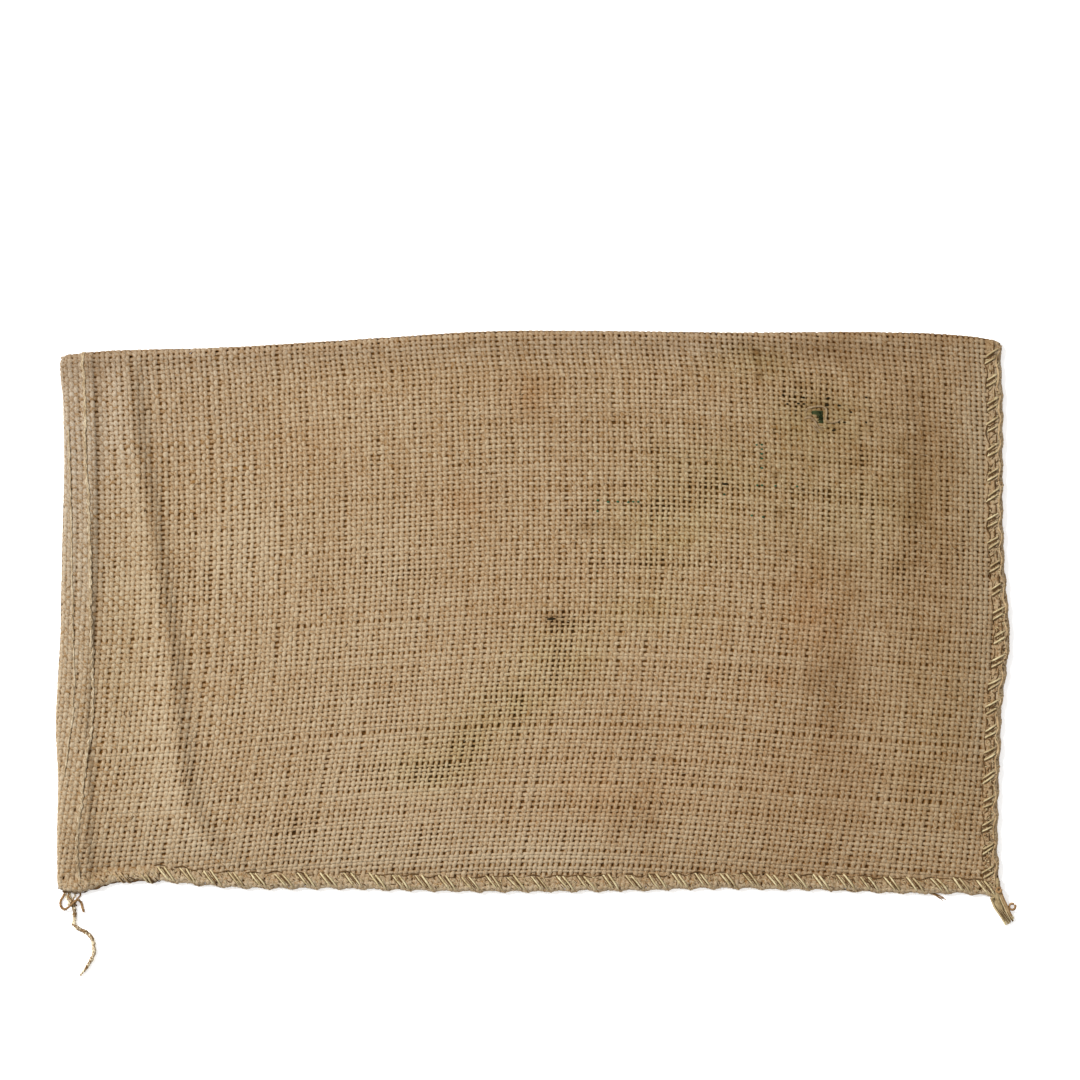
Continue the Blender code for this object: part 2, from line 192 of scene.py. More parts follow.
YARN_LEAST_HEIGHT = 0.00002
# How much paler the hem is, and the painted highlight on the crease's ridge
HEM_PALENESS, RIDGE_HIGHLIGHT = 0.05, 0.10
PLATEAU = 0.27  # share of the pitch for which a yarn stays level at a crossing
WAVE_HEIGHT = 0.00023
CROSS_PROUD = 0.00004
YARN_ROUNDING = 0.00033
CREST_ABOVE_SOLID = 0.00010
PLY_BELOW_SOLID = 0.00076
UNDERSIDE_ROUNDING = 0.00028
UNDERSIDE_WAVE = 0.00016

# Where the ply's grid has its closest lines, in millimetres from each edge
PLY_MOUTH_LINES = (0, 0.8, 1.8, 5, 9.5, 13.5, 16.6, 17.9, 19.4, 21.5, 24.5)
PLY_SEAM_LINES = (0, 0.5, 1.6, 3.9, 6.2, 7.3, 7.8, 10.0, 15.0)
PLY_FOLD_LINES = (0, 0.3, 1.2, 2.8, 5.0, 9.0, 16.0)
POCKET_MOUTH_LINES = (-12.0, 0, 9.0, 16.8, 18.8, 22.0, 27.0)
PLY_FOOT, PLY_LEAST_TOP = 0.0005, 0.0012  # its lower face and the least height of its upper one
PLY_INSET = 0.0006  # further in than the yarns at its edges

LIP_RADIUS = 0.00155
ROOF_RETURN = 0.008  # how far the weave runs back inside under the upper hem
FLOOR_RETURN = 0.014
FOLD_WRAP = 0.0031
MOUTH_TUCK = 0.00035
EDGE_REACH = 0.006  # how far in from an edge it is moved
FOLD_SPREAD = 0.0003  # how far the yarns stand out past the fold
SEAM_SPREAD = 0.00035  # and past the rolled bottom seam
BULGE = 0.00055  # more where a pair of strands turns under the side seam
SEAM_WRAP = 0.0018
WRAP_TURN = 1.45

# How far the square weave has pulled out of square: (across, shift along) and
# (along, shift across). The lean eases towards the bottom seam.
LEAN_EASE, LEAN_EASE_FROM, LEAN_EASE_RUN = 0.35, 0.150, 0.100
LEAN = (
    (-0.1465, -0.0236), (-0.1147, -0.0175), (-0.0882, -0.0127), (-0.0564, -0.0076),
    (-0.0246, -0.0037), (0.0072, -0.0016), (0.0390, -0.0004), (0.0708, 0.0),
    (0.1026, -0.0005), (0.1344, -0.0023), (0.1497, -0.0032), (0.1700, -0.0044),
)
SAG = (
    (-0.2700, -0.0148), (-0.2510, -0.0147), (-0.2190, -0.0145), (-0.1765, -0.0122),
    (-0.1340, -0.0085), (-0.0917, -0.0053), (-0.0493, -0.00265), (-0.0069, -0.0006),
    (0.0355, 0.0), (0.0779, -0.0008), (0.1203, -0.0031), (0.1627, -0.0063),
    (0.2050, -0.0095), (0.2475, -0.0129), (0.2700, -0.0147),
)

# Patches where the weave is open or beaten close, in millimetres:
# along, across, reach along, reach across, share taken off the yarns' width
LOOSE_PATCHES = (
    (25, 55, 10, 6, 0.20), (67, 55, 14, 6, 0.22), (92, 68, 14, 8, 0.20),
    (142, 115, 16, 11, 0.24), (103, 140, 12, 6, 0.16), (177, 80, 12, 7, 0.16),
    (149, 63, 12, 5, 0.18), (177, 60, 12, 5, 0.16), (62, 27, 46, 3, 0.20),
    (-64, 24, 12, 4, 0.20), (-88, 25, 10, 4, 0.14), (191, 23, 10, 9, 0.16),
    (230, 30, 8, 9, 0.14), (18, -5, 13, 8, 0.24), (14, -25, 12, 12, 0.20),
    (-11, -47, 14, 10, 0.22), (-35, -69, 14, 9, 0.24), (-53, -83, 16, 7, 0.24),
    (-85, -83, 10, 7, 0.14), (-80, -55, 9, 6, 0.14), (115, -31, 18, 4, 0.18),
    (124, -69, 13, 8, 0.14), (82, -83, 10, 7, 0.16), (205, -94, 12, 7, 0.14),
    (-124, -115, 14, 7, 0.16), (-60, -119, 12, 6, 0.16), (18, -119, 12, 6, 0.14),
    (-219, -83, 8, 7, 0.16), (-180, -83, 9, 9, 0.14), (-175, 16, 9, 9, 0.14),
    (-20, 90, 20, 16, 0.06), (60, 90, 30, 20, 0.06),
)
CLOSE_PATCHES = (
    (-109, 9, 12, 8, 0.14), (-95, -9, 12, 8, 0.14), (-40, 11, 12, 7, 0.12),
    (-127, 11, 10, 9, 0.12), (-176, -46, 13, 15, 0.16), (-212, 34, 12, 15, 0.14),
    (-223, 9, 10, 12, 0.14), (-37, 134, 16, 7, 0.12), (-95, 122, 14, 8, 0.12),
    (-109, 92, 12, 9, 0.10), (-32, 51, 10, 5, 0.10), (57, -44, 14, 12, 0.16),
    (50, -83, 11, 9, 0.12), (53, -118, 12, 9, 0.14), (92, -122, 12, 8, 0.12),
    (156, -108, 14, 8, 0.14), (223, -118, 14, 9, 0.14), (205, -51, 14, 14, 0.16),
    (232, -51, 8, 14, 0.12), (216, 6, 12, 12, 0.14), (159, 9, 13, 10, 0.14),
    (159, -23, 13, 8, 0.12), (135, 39, 10, 6, 0.12), (189, 96, 10, 7, 0.12),
    (201, 115, 11, 8, 0.14), (212, 67, 9, 7, 0.12), (78, -9, 14, 9, 0.14),
    (42, 118, 12, 8, 0.10), (29, 78, 14, 4, 0.10), (-44, -23, 12, 9, 0.12),
    (-56, -44, 10, 7, 0.10),
)
LOOSE_ROWS = (  # across at the middle, along from, along to, share
    (101, 30, 190, 0.14), (87, 40, 184, 0.14), (69, 30, 190, 0.20),
    (58, 20, 184, 0.20), (62, 60, 120, 0.14), (27, 14, 112, 0.14),
    (-35, -90, 40, 0.10), (-60, -70, 10, 0.12), (-78, -80, -20, 0.16),
    (-84, -90, -30, 0.16), (24, -100, -50, 0.14), (-5, 0, 60, 0.14),
)
ROW_REACH, ROW_FADE = 1.4, 18  # half width of a row, and how it fades at its ends
OPENNESS, CLOSENESS = 0.90, 0.4  # how strongly the patches show
ROLL_CLOSENESS, HEM_CLOSENESS, MOUTH_CLOSENESS = 0.20, 0.11, 0.04
MOTTLE_CELLS, MOTTLE_SHIFT = 160, 0.4  # cells each way, and a shift that keeps places above 0

# Stains, painted shade and paler patches, in millimetres: along, across, reach along, reach across,
# strength
# Dirt and dark spots, and painted shade: the broad patches darken troughs, the right side and the top.
SOIL_AND_SHADE = (
    (118.6, 138.4, 2.6, 1.8, 1.00), (119.0, 132.6, 1.4, 2.4, 0.75), (118.8, 126.2, 2.4, 2.2, 0.90),
    (128.0, 73.2, 2.0, 1.7, 0.90), (139.0, 122.0, 2.0, 2.2, 0.40), (130.5, 53.0, 1.7, 2.4, 0.50),
    (200, 20, 70, 170, 0.30), (207, 68, 12, 52, 0.34), (156, 139, 40, 9, 0.26),
    (29, 46, 9, 6, 0.30), (48, 43, 9, 6, 0.26), (11, -2, 6, 4, 0.45),
    (57, -111, 16, 9, 0.24), (157, -37, 15, 14, 0.26), (150, 108, 9, 7, 0.45),
    (60, -60, 30, 30, 0.06), (0, 145, 300, 16, 0.18), (40, 124, 150, 14, 0.10),
    (110, -110, 80, 30, 0.12), (162, -60, 14, 60, 0.14), (-28, 60, 14, 14, 0.12),
    (18, 98, 26, 14, 0.10), (135, 90, 50, 20, 0.08), (-234, 134, 30, 18, 0.16),
    (162, 28, 12, 26, 0.12), (150, 116, 50, 26, 0.07), (-196, 70, 12, 50, 0.06),
    (-4, 113, 16, 14, 0.14), (92, 90, 50, 24, 0.11), (136, 34, 14, 26, 0.12), (186, 100, 12, 14, 0.12),
    (-28, -114, 10, 8, 0.10), (-241, 126, 18, 12, 0.10), (138, -70, 12, 24, 0.06),
    (-243, -122, 12, 14, 0.14), (-165, 112, 30, 16, 0.08),
)
OLIVE = (
    (-53, -83, 24, 12, 0.36), (-33, -66, 22, 14, 0.38), (-12, -47, 22, 14, 0.38),
    (15, -22, 24, 18, 0.42), (60, 2, 30, 14, 0.32), (69, 42, 28, 18, 0.45),
    (116, 133, 20, 10, 0.42), (150, 105, 24, 16, 0.45), (170, 60, 60, 40, 0.34),
    (215, -60, 30, 60, 0.22), (90, 75, 40, 20, 0.30), (-220, -10, 20, 90, 0.12),
)
PALE = (
    (-200, -20, 16, 60, 0.06), (-204, -95, 20, 45, 0.10), (-147, 45, 14, 24, 0.14),
    (-60, -128, 110, 14, 0.22), (-70, -92, 40, 24, 0.16), (10, -128, 26, 16, 0.20),
    (-75, 30, 14, 26, 0.12), (-245, 60, 14, 50, 0.04), (238, 40, 10, 80, 0.20),
    (170, 55, 20, 14, 0.14), (-10, -30, 30, 16, 0.10), (-160, 28, 26, 24, 0.13),
    (-90, -60, 64, 70, 0.10), (240, 110, 10, 46, 0.18), (30, -10, 40, 20, 0.04),
    (238, 20, 10, 130, 0.14), (186, -60, 12, 110, 0.11), (-185, -105, 30, 40, 0.12),
    (95, -105, 20, 30, 0.12), (5, -75, 30, 30, 0.09), (165, 36, 10, 16, 0.14), (212, -120, 20, 16, 0.10),
)
BLEACH = (
    (-245, 110, 34, 70, 0.75), (-242, 10, 26, 90, 0.45), (-190, 138, 70, 20, 0.50),
    (-90, 142, 90, 10, 0.35), (100, 144, 110, 10, 0.50), (-180, 100, 50, 26, 0.25),
)
RUST = (
    (-2, 115, 14, 10, 0.45), (-35, 58, 14, 10, 0.40), (147, 4, 18, 28, 0.50),
    (-120, 90, 30, 20, 0.15), (40, -95, 26, 16, 0.20), (128, -35, 6, 4, 0.50),
    (90, -100, 210, 50, 0.20), (220, 0, 60, 110, 0.20), (20, -10, 120, 60, 0.12),
)

STRAND_RADIUS = 0.00053
STRAND_PAIR_PITCH = 0.0124
STRAND_GAP = 0.0033  # between the two strands of a pair
SIDE_LEAN, BOTTOM_LEAN = 0.0094, 0.0074
SIDE_TURN, BOTTOM_TURN = 0.0100, 0.0085  # from a pair's start to where it turns under
STRAND_POINTS, UNDER_POINTS = 12, 5  # of a strand's route over the seam and back under it
UNDER_RADIUS, UNDER_RUN, UNDER_HEIGHT = 0.00038, 0.0075, 0.00040
STRAND_LIFT, STRAND_BITE = 0.00034, 0.0012  # above the roll, and into it where it starts
SIDE_SHOWN, BOTTOM_SHOWN, WEAK_SHOWN = 0.62, 0.52, (0.38, 0.78)  # shares of a strand's run
SIDE_HIDDEN, BOTTOM_HIDDEN, WEAK_HIDDEN = 0.56, 0.46, 0.25  # from here it is thin and low
STRAND_INNER = 0.0086  # how far in from the edge a strand goes into the cloth
WEAK_STRANDS_FROM = -0.2242
SIDE_STRANDS_FROM, SIDE_STRANDS_TO = -0.1993, 0.2350
BOTTOM_STRANDS_FROM, BOTTOM_STRANDS_TO = -0.1400, 0.1400
ROLL_SWELL = 0.00026
SCALLOP = 0.00026  # how far the rolled edge swells outward where strands turn under

HEM_STITCH = 0.0051
HEM_THREAD_RADIUS = 0.00050
INNER_LOOP, OUTER_LOOP = 0.00038, 0.00020  # half widths of the hem's looped stitches
INNER_WAVE, OUTER_WAVE = 0.00030, 0.0001  # how far each row sways from stitch to stitch
INNER_HEM_ROW = (  # across, along
    (-0.1440, -0.2398), (-0.1391, -0.2404), (-0.1248, -0.2412), (-0.1126, -0.2401),
    (-0.0898, -0.2371), (-0.0734, -0.2353), (-0.0549, -0.2326), (-0.0299, -0.2324),
    (-0.0034, -0.2332), (0.0284, -0.2337), (0.0602, -0.2343), (0.0787, -0.2359),
    (0.0973, -0.2363), (0.1158, -0.2366), (0.1354, -0.2378),
)
OUTER_HEM_ROW = (
    (-0.0898, -0.2482), (-0.0723, -0.2456), (-0.0458, -0.2424), (-0.0034, -0.2427),
    (0.0284, -0.2433), (0.0708, -0.2443), (0.0930, -0.2451), (0.1200, -0.2460),
    (0.1354, -0.2468),
)

# Dark slits and flecks, in millimetres: along, across, length, lean in degrees. The near-black slits are
# painted shade of small holes in the cloth.
SLITS = (
    (9.6, -2.6, 4.4, 3), (101.2, 68.6, 2.6, 4), (154.9, 110.2, 1.8, 0), (155.6, 113.9, 1.4, 10),
    (161.4, 110.0, 1.4, 0), (167.7, 106.5, 1.1, 0), (164.3, 101.1, 1.2, 0), (175.7, 101.1, 0.9, 0),
    (158.7, 97.0, 1.9, 12), (142.6, 114.2, 1.1, 0), (142.8, 110.8, 1.2, 0), (139.9, 111.0, 1.2, 0),
    (134.1, 110.8, 0.9, 0), (131.7, 115.5, 0.9, 0), (175.7, 114.2, 0.9, 0), (161.4, 101.2, 0.8, 0),
)
GREEN_SLITS = (  # where something green shows through the cloth
    (120.7, 89.3, 1.0, 0), (118.0, 89.2, 0.9, 0), (120.8, 86.9, 1.0, 0), (120.7, 84.4, 1.1, 0),
    (120.8, 82.0, 1.1, 0), (120.8, 77.0, 1.1, 0), (118.4, 67.9, 0.9, 0), (120.9, 67.9, 0.9, 0),
    (121.4, 51.1, 1.0, 0), (115.4, 51.9, 0.8, 0), (139.4, 67.3, 1.0, 0), (39.7, 59.1, 1.2, 0),
    (44.8, 59.2, 1.1, 0), (50.3, 59.0, 1.1, 0), (53.0, 59.2, 1.0, 0), (55.6, 59.1, 1.0, 0),
    (34.1, 54.2, 0.9, 0), (34.3, 60.0, 0.8, 0), (128.0, 67.6, 0.8, 0), (101.0, 63.1, 0.8, 0),
)
BROWN_SLITS = (
    (118.7, 139.1, 2.4, 0), (118.7, 126.4, 2.4, 5), (27.5, 47.9, 2.2, 0),
    (31.6, 47.3, 1.6, 8), (-24.0, 74.6, 1.8, 0), (-20.4, 74.2, 1.5, 10),
    (-176.5, 68.6, 2.2, 0), (-168.0, 107.9, 2.2, 70), (128.3, -35.2, 2.4, 0),
    (-115.5, 19.9, 2.2, 85), (-98.1, -16.2, 2.2, 50), (-215.7, -52.2, 2.4, 90),
    (-213.0, -52.4, 2.2, 85), (-211.5, -107.9, 2.2, 60), (-204.0, 107.9, 2.4, 10),
    (-206.7, 72.9, 2.2, 80), (-204.6, 54.9, 2.2, 75), (-198.8, 24.1, 2.2, 70),
    (-196.1, 11.4, 2.0, 70), (-188.7, -39.0, 2.4, 60), (-187.1, -51.7, 2.2, 80),
    (-187.1, -57.5, 2.2, 80), (-184.4, -87.7, 2.4, 70),
)
FLECKS = (
    (-245, 14, 3.4, 40), (-60, -30, 3.0, 60), (-52, -35, 2.6, 20), (60, 100, 3.2, 30),
    (-140, -70, 3.0, 120), (90, -60, 2.6, 75), (180, -80, 3.2, 15), (20, 120, 2.6, 50),
    (-20, -100, 3.0, 140), (-100, 60, 2.8, 10), (140, -120, 3.0, 35), (225, 90, 2.8, 80),
    (-160, 30, 2.6, 55), (110, 20, 2.8, 160), (30, -70, 2.4, 25), (-90, -110, 2.8, 95),
)
SNAG_FOOT, SNAG_TOP, SNAG_RIGHT = 101.0, 107.3, 153.0  # the torn place, in millimetres
SNAG_LEFT = ((101.0, 150.8), (104.8, 149.9), (105.3, 148.4), (105.6, 146.8), (107.0, 147.2))
SNAG_YARNS = (  # pulled yarns round the torn place: along, across, lift
    ((143.8, 106.6, -0.5), (145.6, 108.5, -0.1), (149.0, 109.4, 0.2), (152.4, 109.4, 0.1),
     (154.6, 108.2, 0.3), (154.8, 105.0, 0.3), (154.6, 102.6, 0.2), (156.6, 101.0, 0.0),
     (160.6, 101.6, 0.0), (163.6, 103.4, -0.5)),
    ((142.6, 102.6, -0.5), (144.8, 103.6, 0.0), (147.4, 103.2, 0.2), (149.2, 100.8, 0.2),
     (150.8, 98.4, 0.1), (153.6, 96.8, -0.5)),
    ((145.6, 100.6, -0.5), (147.6, 99.6, 0.0), (149.2, 97.4, 0.1), (151.6, 95.6, -0.5)),
)

# ------------------------------------------------------------------ colours and stage

STAIN_AND_SHADE_TINTS = {  # in the order in which they are laid over a colour
    "Bleach": (0.94, 1.0, 1.16),
    # Dirt, with painted shade in grooves, troughs, towards the right and along the top.
    "Soil_and_shade": (0.52, 0.42, 0.30),
    "Olive": (0.90, 0.96, 0.76),
    "Rust": (1.0, 0.84, 0.70),
}
STRAND_FINISHES = {  # name, pale, deep, roughness, and for some the range of their noise
    "straw": ("straw_strand", (0.56, 0.48, 0.295), (0.27, 0.19, 0.085), 0.68),
    "dull": ("dull_straw", (0.47, 0.385, 0.225), (0.23, 0.155, 0.070), 0.75),
    # Darker than the straw: painted shade on strands that turn under the edges.
    "tan": ("tan_strand", (0.46, 0.34, 0.195), (0.22, 0.135, 0.060), 0.92),
    "olive": ("olive_strand", (0.38, 0.295, 0.165), (0.17, 0.11, 0.045), 0.88),
    "thread": ("hem_thread", (0.475, 0.395, 0.275), (0.27, 0.19, 0.105), 0.92, (0.46, 0.70)),
    "twine": ("pale_twine", (0.66, 0.57, 0.40), (0.15, 0.085, 0.035), 0.88, (0.56, 0.67)),
    "brown": ("brown_yarn", (0.34, 0.205, 0.095), (0.14, 0.075, 0.03), 0.90),
    # Painted shade in grooves and gaps, also used for the brown slits.
    "groove": ("painted_shade_and_brown_mark", (0.115, 0.062, 0.024), (0.060, 0.032, 0.012), 0.95),
    # Painted shade of small holes and slits.
    "dark": ("dark_hole_shade", (0.020, 0.014, 0.005), (0.006, 0.005, 0.002), 0.95),
    # Painted shade of the torn hole, tinted green.
    "torn": ("torn_place", (0.040, 0.050, 0.019), (0.008, 0.012, 0.004), 0.95, (0.50, 0.68)),
    "green": ("green_glint", (0.034, 0.110, 0.060), (0.012, 0.036, 0.018), 0.95),
    "loose": ("pulled_yarn", (0.285, 0.213, 0.130), (0.15, 0.092, 0.042), 0.95),
    "fibre": ("loose_fibre", (0.66, 0.55, 0.38), (0.42, 0.31, 0.17), 0.80),
}
CAMERA_OVER = (0.0037, 0.0390)
CAMERA_HEIGHT = 2.6
FRAME_WIDTH = 0.5724
KEY_PLACE, KEY_SIZE, KEY_POWER = (-2.9, 1.9, 3.2), 1.5, 338.0
FILL_STRENGTH, FLOOR_GLOW = 0.62, 0.42

# --------------------------------------------------------------- curves and surfaces


def smooth(value):
    """0 below 0, 1 above 1, and a soft S between."""
    value = np.clip(value, 0.0, 1.0)
    return value * value * (3.0 - 2.0 * value)


def round_rise(value):
    """A quarter circle: 0 at 0, steep at first, 1 from 1 on."""
    value = np.clip(value, 0.0, 1.0)
    return np.sqrt(1.0 - (1.0 - value) ** 2)


def lerp(a, b, share):
    """The value at this share of the way from a to b."""
    return a + (b - a) * share


def fade(value, start, width):
    """1 up to the start, 0 past the width, and a soft S between."""
    return 1.0 - smooth((value - start) / width)


def bell(value, width):
    """A soft hump: 1 at 0, nearly 0 past twice the width."""
    return np.exp(-((value / width) ** 2))


def through(points, at):
    """Read a smooth curve through (position, value) points."""
    place, value = np.array(points).T
    at = np.clip(at, place[0], place[-1])
    last = len(place) - 1
    k = np.clip(np.searchsorted(place, at, side="right") - 1, 0, last - 1)
    before, after = np.maximum(k - 1, 0), np.minimum(k + 2, last)
    slope0 = (value[k + 1] - value[before]) / (place[k + 1] - place[before])
    slope1 = (value[after] - value[k]) / (place[after] - place[k])
    width = place[k + 1] - place[k]
    u = (at - place[k]) / width
    return (
        value[k] * (1 - u) ** 2 * (1 + 2 * u)
        + slope0 * width * u * (1 - u) ** 2
        + value[k + 1] * u * u * (3 - 2 * u)
        - slope1 * width * u * u * (1 - u)
    )


def laid_out(along, across):
    """Place a point of the flat cloth, measured from the mouth and the side seam."""
    s = np.clip(along / SACK_LENGTH, 0.0, 1.0)
    t = np.clip(across / SACK_WIDTH, 0.0, 1.0)
    x_low = lerp(MOUTH_EDGE[0][1], BOTTOM_SEAM_EDGE[0][1], s)
    x_high = lerp(MOUTH_EDGE[-1][1], BOTTOM_SEAM_EDGE[-1][1], s)
    y_low, y_high = through(SIDE_SEAM_EDGE, x_low), through(FOLD_EDGE, x_high)
    x_left = through(MOUTH_EDGE, lerp(SIDE_SEAM_EDGE[0][1], FOLD_EDGE[0][1], t))
    x_right = through(BOTTOM_SEAM_EDGE, lerp(SIDE_SEAM_EDGE[-1][1], FOLD_EDGE[-1][1], t))
    return lerp(x_left, x_right, s) + np.minimum(along, 0.0), lerp(y_low, y_high, t)


def on_cloth(x, y):
    """How far a laid-out point is from the mouth and from the side seam."""
    mouth, bottom = through(MOUTH_EDGE, y), through(BOTTOM_SEAM_EDGE, y)
    seam, fold = through(SIDE_SEAM_EDGE, x), through(FOLD_EDGE, x)
    along = (x - mouth) / (bottom - mouth) * SACK_LENGTH
    across = (y - seam) / (fold - seam) * SACK_WIDTH
    return along, across


def rounded_corner(along, across):
    """Pull the points near each corner of the flat cloth onto a round corner."""
    from_end = np.minimum(along, SACK_LENGTH - along)
    from_side = np.minimum(across, SACK_WIDTH - across)
    a = np.maximum(CORNER_RADIUS - from_end, 0.0)
    b = np.maximum(CORNER_RADIUS - from_side, 0.0)
    pull = np.where((a > 0) & (b > 0), np.maximum(a, b) / np.maximum(np.hypot(a, b), 1e-9), 1)
    near_end = np.where(a * b > 0, CORNER_RADIUS - a * pull, from_end)
    near_side = np.where(a * b > 0, CORNER_RADIUS - b * pull, from_side)
    along = np.where(along < SACK_LENGTH / 2, near_end, SACK_LENGTH - near_end)
    across = np.where(across < SACK_WIDTH / 2, near_side, SACK_WIDTH - near_side)
    return along, across


def hem_share(along):
    """1 on the hem, 0 past it."""
    return fade(along, HEM_WIDTH - HEM_STEP_RUN / 2, HEM_STEP_RUN)


def from_seams(along, across):
    """How far a point of the flat cloth is from the nearer sewn edge."""
    return np.minimum(across, SACK_LENGTH - along)


def pocket_gap(along, across):
    """Clear height between the two panels."""
    from_seam = np.minimum(across, SACK_LENGTH - along) - SEAM_WIDTH
    side = 1.0 - np.exp(-np.maximum(across - SEAM_WIDTH, 0.0) / SEAM_PULL)
    bottom = 1.0 - np.exp(-np.maximum(SACK_LENGTH - along - SEAM_WIDTH, 0.0) / SEAM_PULL)
    from_fold = SACK_WIDTH - across
    fold = FOLD_FULLNESS * round_rise(from_fold / FOLD_RADIUS)
    fold = fold + (1.0 - FOLD_FULLNESS) * smooth(from_fold / FOLD_SLOPE)
    return np.where(from_seam > 0, POCKET_GAP * side * bottom * fold, 0.0)


def crease(x, y):
    """Height of the long crease: a slow rise, a ridge and a steep fall."""
    offset = x - through(CREASE_LINE, y)
    rise = CREASE_HEIGHT * bell(offset, CREASE_RISE)
    fall = bell(offset, CREASE_DROP)
    dip = (offset / CREASE_RISE) * np.exp(1.0 - offset / CREASE_DROP / 2.0)
    beyond = CREASE_HEIGHT * fall - CREASE_DIP * np.minimum(dip, 1.0) * (1.0 - fall)
    return crease_fade(y) * np.where(offset < 0.0, rise, beyond)


def blobs(table, x, y, unit=1.0):
    """Sum of soft round patches, each (along, across, reach, reach, strength)."""
    total = np.zeros(np.broadcast(x, y).shape)
    for along, across, reach_x, reach_y, strength in table:
        away = ((x / unit - along) / reach_x) ** 2 + ((y / unit - across) / reach_y) ** 2
        total += strength * np.exp(-away)
    return total


def seam_roll(from_edge):
    """Extra height of the rolled, overcast band over two plain plies."""
    rise = round_rise((SEAM_WIDTH - from_edge) / (SEAM_WIDTH / 2))
    return np.where(from_edge > SEAM_WIDTH, 0.0, (SEAM_HEIGHT - 2 * PLY) * rise)


def upper_surface(along, across):
    """Top face of the upper panel over a point of the flat cloth."""
    x, y = laid_out(along, across)
    gap = pocket_gap(along, across)
    from_seam = from_seams(along, across)
    valley = bell(along - HEM_WIDTH - HEM_VALLEY_WIDTH, HEM_VALLEY_WIDTH)
    folds = crease(x, y) + blobs(SWELLS, x, y) - valley * HEM_VALLEY_DEPTH
    top = 2 * PLY + gap + seam_roll(from_seam) + hem_share(along) * HEM_OUTER_STEP
    top = top + np.minimum(gap / POCKET_GAP, 1.0) * folds
    share = round_rise(2 * from_seam / SEAM_WIDTH)
    top = np.where(from_seam < SEAM_WIDTH / 2, lerp(SEAM_EDGE_HEIGHT, top, share), top)
    from_fold = SACK_WIDTH - across
    edge = np.minimum(FOLD_EDGE_HEIGHT, top)
    return lerp(edge, top, round_rise(from_fold / FOLD_RADIUS))


def pocket_floor(along):
    """Top face of the lower panel."""
    return PLY + hem_share(along) * (HEM_OUTER_STEP + HEM_INNER_STEP)


def pocket_roof(along, across):
    """Underside of the upper panel, which is as thick as the lower one."""
    roof = upper_surface(along, across) - pocket_floor(along)
    return np.maximum(roof, pocket_floor(along) + POCKET_LEAST_GAP)


def pair_wave(place, first):
    """A wave along a seam that crests at each pair of strands, from the first on."""
    return np.cos(2 * pi * (place - first) / STRAND_PAIR_PITCH)


def roll_swell(along, across):
    """The rolled seams swell a little between one pair of strands and the next."""
    x, y = laid_out(along, across)
    side = fade(across, SEAM_WIDTH, SEAM_EDGE_RUN) * pair_wave(x, SIDE_STRANDS_FROM)
    bottom = fade(SACK_LENGTH - along, SEAM_WIDTH, SEAM_EDGE_RUN)
    return -ROLL_SWELL * (side + bottom * pair_wave(y, BOTTOM_STRANDS_FROM))


def scalloped(along, across, px, py):
    """Move the rolled edges in and out a little, most where strands turn under."""
    side = fade(across, 0.0, EDGE_REACH)
    bottom = fade(SACK_LENGTH - along, 0.0, EDGE_REACH)
    side_wave = pair_wave(px, SIDE_STRANDS_FROM + SIDE_TURN)
    bottom_wave = pair_wave(py, BOTTOM_STRANDS_FROM + BOTTOM_TURN)
    rough = 0.9 * mottle(px, py, 0.0045, 9) + 0.7 * mottle(px, py, 0.0110, 10)
    bulge = BULGE * (0.5 + 0.5 * side_wave) ** 4 * smooth((px - WEAK_STRANDS_FROM) / 0.02)
    py = py - side * (SCALLOP * (side_wave + rough) + SEAM_SPREAD / 2 + bulge)
    py = py + FOLD_SPREAD * fade(SACK_WIDTH - across, 0.0, FOLD_RADIUS)
    px = px + bottom * (SCALLOP * (bottom_wave + rough) + SEAM_SPREAD)
    return px, py


def round_lip(px, lip):
    """Turn what runs past the lip round it: where it lies and how far it is from the face."""
    turn = np.clip(lip / LIP_RADIUS, 0.0, pi)
    px = px - LIP_RADIUS * np.sin(turn) + np.maximum(lip - pi * LIP_RADIUS, 0.0)
    return px, LIP_RADIUS * (1 - np.cos(turn))


def past_edges(x, y):
    """How far a laid-flat point is past the lip, fold, side seam and bottom seam."""
    along, across = on_cloth(x, y)
    return LIP_RADIUS - along, across - SACK_WIDTH, -across, along - SACK_LENGTH


def turned(past, wrap):
    """The angle turned by what has run on past an edge."""
    return np.clip(past / wrap, 0.0, WRAP_TURN)


def over_upper(x, y):
    """Where a laid-flat point of the upper panel lies; past an edge it runs round it."""
    lip, fold, seam, bottom = past_edges(x, y)
    along, across = on_cloth(x, y)
    along = np.clip(along, LIP_RADIUS, SACK_LENGTH)
    across = np.clip(across, 0.0, SACK_WIDTH)
    along, across = rounded_corner(along, across)
    px, py = scalloped(along, across, *laid_out(along, across))
    px = px + MOUTH_TUCK * fade(along, 0.0, EDGE_REACH)
    pz = upper_surface(along, across) + roll_swell(along, across)
    fold, seam, bottom = turned(fold, FOLD_WRAP), turned(seam, SEAM_WRAP), turned(bottom, SEAM_WRAP)
    py = py - FOLD_UNDERCUT * (1 - np.cos(fold)) + SEAM_UNDERCUT * (1 - np.cos(seam))
    px = px - SEAM_UNDERCUT * (1 - np.cos(bottom))
    pz = pz * (1 - np.sin(fold)) * (1 - np.sin(seam)) * (1 - np.sin(bottom))
    px, drop = round_lip(px, lip)
    return np.stack([px, py, pz - drop], axis=-1)


